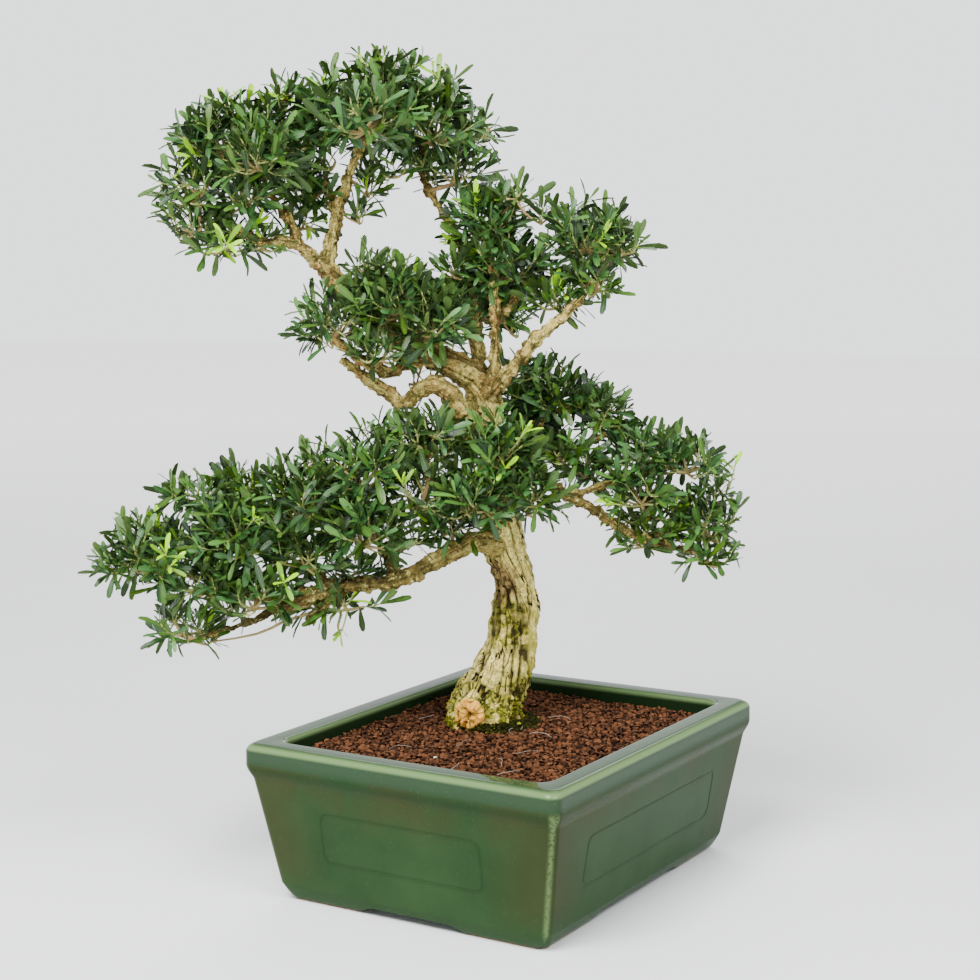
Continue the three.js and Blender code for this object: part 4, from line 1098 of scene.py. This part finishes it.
def add_leaf(bm, mesh, spot, direction, upper, length, tone, fresh):
    """Lays a leaf from its foot along a direction, unless it would reach out of the solids' box."""
    upper = (upper - upper.dot(direction) * direction).normalized()
    across = direction.cross(upper)
    turn = Matrix((across, direction, upper)).transposed().to_4x4()
    matrix = Matrix.Translation(spot) @ turn @ Matrix.Scale(length, 4)
    for reach in (1, 0.7):
        place = TREE_PLACE @ matrix @ Vector((0, reach, 0))
        for part, low, high in zip(place, *solid_box):
            if not low + BOX_MARGIN <= part <= high - BOX_MARGIN:
                return
    add_copy(bm, mesh, matrix, {"tone": tone, "fresh": fresh})


def leafy_shoot(bm, stations, leaves, draw, light, spring=0):
    """Crossed pairs of leaves down a shoot's outer end, and a tuft of small ones at its tip."""
    tip = stations[-1]
    total = tip.travelled
    vigour = spring or draw.uniform(0.85, 1.12)
    fresh_tip = 1.0 if spring or draw.random() < 0.02 else draw.uniform(0, 0.12)
    phase = draw.uniform(0, math.tau)
    pairs = 2 if spring else min(int(LEAFY_LENGTH / LEAF_SPACING), int(total * 0.85 / LEAF_SPACING))
    for pair in range(pairs + 1):
        back = pair * LEAF_SPACING * vigour
        station = min(stations, key=lambda other: abs(total - back - other.travelled))
        spot = station.spot - (back - (total - station.travelled)) * station.along
        turn = phase + pair * math.pi / 2
        opening = math.radians(24 + 15 * min(pair, 2.2) + draw.uniform(-12, 14))
        length = (TIP_LEAF_LENGTH if pair == 0 else LEAF_LENGTH) * vigour * draw.uniform(0.78, 1.18)
        for half in (0, math.pi):
            if pair > 2 and draw.random() < 0.2:
                continue
            out = math.cos(turn + half) * station.across + math.sin(turn + half) * station.side
            towards = math.cos(opening) * station.along + math.sin(opening) * out
            towards += 0.12 * Vector((draw.uniform(-1, 1), draw.uniform(-1, 1), draw.uniform(-0.6, 1)))
            towards.normalize()
            upper = station.along - 0.4 * out
            upper += Vector((draw.uniform(-0.5, 0.5), draw.uniform(-0.5, 0.5), 0.6))
            fresh = fresh_tip if pair < 2 else 0.4 if fresh_tip == 1 else 0.0
            add_leaf(bm, draw.choice(leaves), spot, towards, upper, length,
                     light * draw.random() ** 1.2, fresh)


def lobe_anchor(middle, hubs):
    """Where a lobe's main twig starts: on the nearest wood or the core of a nearer lobe."""
    wood_spot = wood_stations[nearby.find(middle)[1]].spot
    return min([wood_spot] + hubs, key=lambda place: (place - middle).length)


def is_crowded(tip, own, lobes):
    """Whether a tip stands deep inside another lobe of its head."""
    return any(Vector(((tip.x - x) / across, (tip.y - y) / away, (tip.z - z) / up)).length < CROWDED
               for other, (x, y, z, across, away, up) in enumerate(lobes) if other != own)


def grow_lobe(bm, head, own, hubs):
    """Fills a lobe: a main twig to its core, forks from there and leafy shoots to its outside."""
    *middle, across, away, up = HEADS[head][own]
    middle, radii = Vector(middle), (across, away, up)
    mean = sum(radii) / 3
    stout = sum(radii) / 80
    anchor = lobe_anchor(middle, hubs)
    core = middle - Vector((0, 0, CORE_DROP * up))
    hubs.append(core)
    twig(twigs, anchor, core, (1.9 * stout, 1.4 * stout), 6, 0.05, 0, draw)
    count = round(2 * math.pi * (1 - LOWEST_SHOOT) * mean * mean / SHOOT_AREA)
    forks = [core + stretched(direction, radii) * FORK_SHARE * draw.uniform(0.6, 1.7)
             for direction in fan(max(4, round(count / 4)), LOWEST_SHOOT, draw)]
    grown = []
    reach = [max(LEAST_REACH, radius - TIP_CLEARANCE) for radius in radii]
    for direction in fan(count, LOWEST_SHOOT, draw):
        depth = draw.choice([draw.uniform(*span) for span in SHOOT_DEPTHS])
        stray = Vector([draw.uniform(-SHOOT_STRAY, SHOOT_STRAY) for _ in range(3)])
        tip = middle + stretched(direction, reach) * depth + stray * (depth < 1)
        gap = noise.noise(tip / GAP_SIZE) + OPENNESS.get(head, COMMON_OPENNESS)
        if gap > GAP_LEVEL and mean > SMALL_LOBE or is_crowded(tip, own, HEADS[head]):
            continue
        fork = min(forks, key=lambda place: (place - tip).length)
        if fork not in grown:
            twig(twigs, core, fork, (1.1, 0.8), 4, 0.05, 0.3, draw)
            grown.append(fork)
        stem = twig(twigs, fork, tip, (0.7, 0.4), 3, 0.06, 1, draw)
        # A leaf's tone is its own random shade of green times painted light: darker deep in the lobe and
        # facing down as painted shade, lighter outside and on top.
        light = 0.12 + 0.88 * ramp(depth + 0.25 * direction.z, 0.5, 1.2)
        leafy_shoot(bm, stem, leaves, draw, light)


leaf_finish = Finish("leaf_green", {"IOR": 1.42, "Specular IOR Level": 0.45, "Emission Strength": 0.14})
uv = leaf_finish.node("TexCoord", {}, {}, output="UV")
from_rib = abs(leaf_finish.axis(uv, "X") - 0.5) * 2
along = leaf_finish.axis(uv, "Y")
tone, fresh, under = (leaf_finish.attribute(name) for name in ("tone", "fresh", "under"))
mottle = leaf_finish.noise(leaf_finish.place(), 4, detail=2)
green = leaf_finish.mix(tone, colour(0, 17, 5), colour(68, 116, 58))
green = leaf_finish.mix(leaf_finish.step(mottle, 0.4, 0.75) * 0.25, green, colour(62, 104, 36))
green = leaf_finish.mix(leaf_finish.step(along, 0.25, 0.0) * 0.5, green, colour(130, 152, 74))
green = leaf_finish.mix(leaf_finish.step(from_rib, 0.1, 0.02) * 0.3, green, colour(122, 156, 78))
green = leaf_finish.mix(fresh, green, colour(150, 206, 6))
back = leaf_finish.mix(tone, colour(28, 48, 18), colour(98, 124, 56))
green = leaf_finish.mix(under * (0.7 - 0.5 * fresh), green, back)
leaf_finish.drive("Base Color", green)
# Fresh shoots glow faintly in yellow-green: painted light.
leaf_finish.drive("Emission Color", leaf_finish.mix(fresh, (0, 0, 0, 1), colour(150, 210, 0)))
leaf_finish.drive("Roughness", 0.26 + 0.34 * under + 0.15 * mottle)
veins = leaf_finish.maths("SINE", 60 * along + 26 * from_rib)
leaf_finish.relief(0.3 * veins + leaf_finish.step(from_rib, 0.12, 0), 0.12, 0.5)

leaves = [leaf_template(bend) for bend in (-0.05, 0.07, 0.16, 0.24)]
draw = random.Random(LEAF_SEED)
twigs = bmesh.new()
for head, lobes in HEADS.items():
    bm = bmesh.new()
    hubs = []
    for own in range(len(lobes)):
        grow_lobe(bm, head, own, hubs)
    for *place, vigour in SPRING_SHOOTS.get(head, ()):
        tip = Vector(place)
        foot = min(hubs, key=lambda hub: (hub - tip).length)
        foot = tip + (foot - tip).normalized() * min(SPRING_STEM, (foot - tip).length)
        stem = twig(twigs, foot, tip, (0.8, 0.5), 3, 0.06, 1, draw)
        leafy_shoot(bm, stem, leaves, draw, 1, spring=vigour)
    foliage = finished(f"foliage_{head}", bm, TREE_PLACE, 60)
    dress(foliage, leaf_finish, [f"leaves_{head}"])
for path in BARE_TWIGS:
    for order, (start, end) in enumerate(zip(path, path[1:])):
        radii = (1.2 - 0.2 * order, 1 - 0.2 * order)
        twig(twigs, Vector(start), Vector(end), radii, 5, 0.02, 0.2, draw)
drop(leaves)
twigs = finished("twigs", twigs, TREE_PLACE, 180)

twig_bark = Finish("twig_bark", {"Roughness": 0.75})
spot = twig_bark.place()
mottle = twig_bark.noise(spot, 3, detail=4)
tan = twig_bark.mix(mottle, colour(104, 82, 46), colour(184, 156, 98))
pale = twig_bark.mix(mottle, colour(104, 122, 50), colour(192, 196, 118))
twig_bark.drive("Base Color", twig_bark.mix(twig_bark.attribute("young"), tan, pale))
twig_bark.relief(twig_bark.noise(spot, 1, detail=3), 0.2)
dress(twigs, twig_bark)

# The bonsai stands on a plain pale surface under soft studio light: a broad window high on the left,
# a dimmer one on the right, a weak one behind and even light all round.
VIEW_AZIMUTH = math.radians(31.689)
VIEW_DOWN = math.radians(6.965)
VIEW_ROLL = math.radians(0.395)
VIEW_SPOT = (607.7, -1004.5, 386.4)
LENS = 70.48
SENSOR = 36
FLOOR_HALF = 6
TREE_MIDDLE = Vector((0, 0, 0.22))

bm = bmesh.new()
bmesh.ops.create_grid(bm, x_segments=1, y_segments=1, size=FLOOR_HALF)
floor = finished("floor", bm, Matrix())
paper = Finish("pale_floor", {"Roughness": 0.9, "Specular IOR Level": 0.1, "Emission Strength": 1.42})
spot = paper.place()
haze = paper.noise(spot, 400, detail=1)
from_tree = paper.node("VectorMath", {"operation": "LENGTH"}, {0: spot}, output="Value")
paper.drive("Base Color", paper.mix(haze, colour(238, 239, 240), colour(244, 245, 246)))
paper.drive("Emission Color", paper.mix(paper.step(from_tree, 700, 3600), (0, 0, 0, 1), (1, 1, 1, 1)))
floor.data.materials.append(paper.material)


class Surround(Finish):
    """The light from all round: bright walls to just above eye level and a dimmer ceiling."""

    def __init__(self, name):
        world = bpy.data.worlds.new(name)
        world.use_nodes = True
        self.tree = world.node_tree
        self.shader = self.tree.nodes["Background"]
        bpy.context.scene.world = world


studio = Surround("studio")
direction = studio.node("TexCoord", {}, {}, output="Generated")
ceiling = studio.step(studio.axis(direction, "Z"), 0.14, 0.4)
studio.shader.inputs["Color"].default_value = (0.95, 0.97, 1, 1)
studio.drive("Strength", 2.1 - 1.65 * ceiling)


def soft_light(name, azimuth, elevation, distance, size, power):
    """A square area light that faces the middle of the tree."""
    lamp = bpy.data.lights.new(name, "AREA")
    lamp.shape = "RECTANGLE"
    lamp.size, lamp.size_y = size
    lamp.energy = power
    light = bpy.data.objects.new(name, lamp)
    turn, rise = math.radians(azimuth), math.radians(elevation)
    back = Vector((math.sin(turn) * math.cos(rise), -math.cos(turn) * math.cos(rise), math.sin(rise)))
    light.location = TREE_MIDDLE + distance * back
    light.rotation_euler = back.to_track_quat("Z", "Y").to_euler()
    bpy.context.scene.collection.objects.link(light)


soft_light("sky_window", 0, 50, 1.9, (1.0, 0.9), 78)
soft_light("right_window", 68, 40, 2.1, (0.9, 0.8), 34)
soft_light("back_light", 205, 40, 2.2, (1.4, 1.4), 26)

camera = bpy.data.objects.new("camera", bpy.data.cameras.new("camera"))
camera.data.lens = LENS
camera.data.sensor_width = SENSOR
camera.location = POT_PLACE @ Vector(VIEW_SPOT)
look = (Matrix.Rotation(VIEW_AZIMUTH, 3, "Z") @ Matrix.Rotation(math.pi / 2 - VIEW_DOWN, 3, "X")
        @ Matrix.Rotation(-VIEW_ROLL, 3, "Z"))
camera.rotation_euler = look.to_euler()
bpy.context.scene.collection.objects.link(camera)
bpy.context.scene.camera = camera
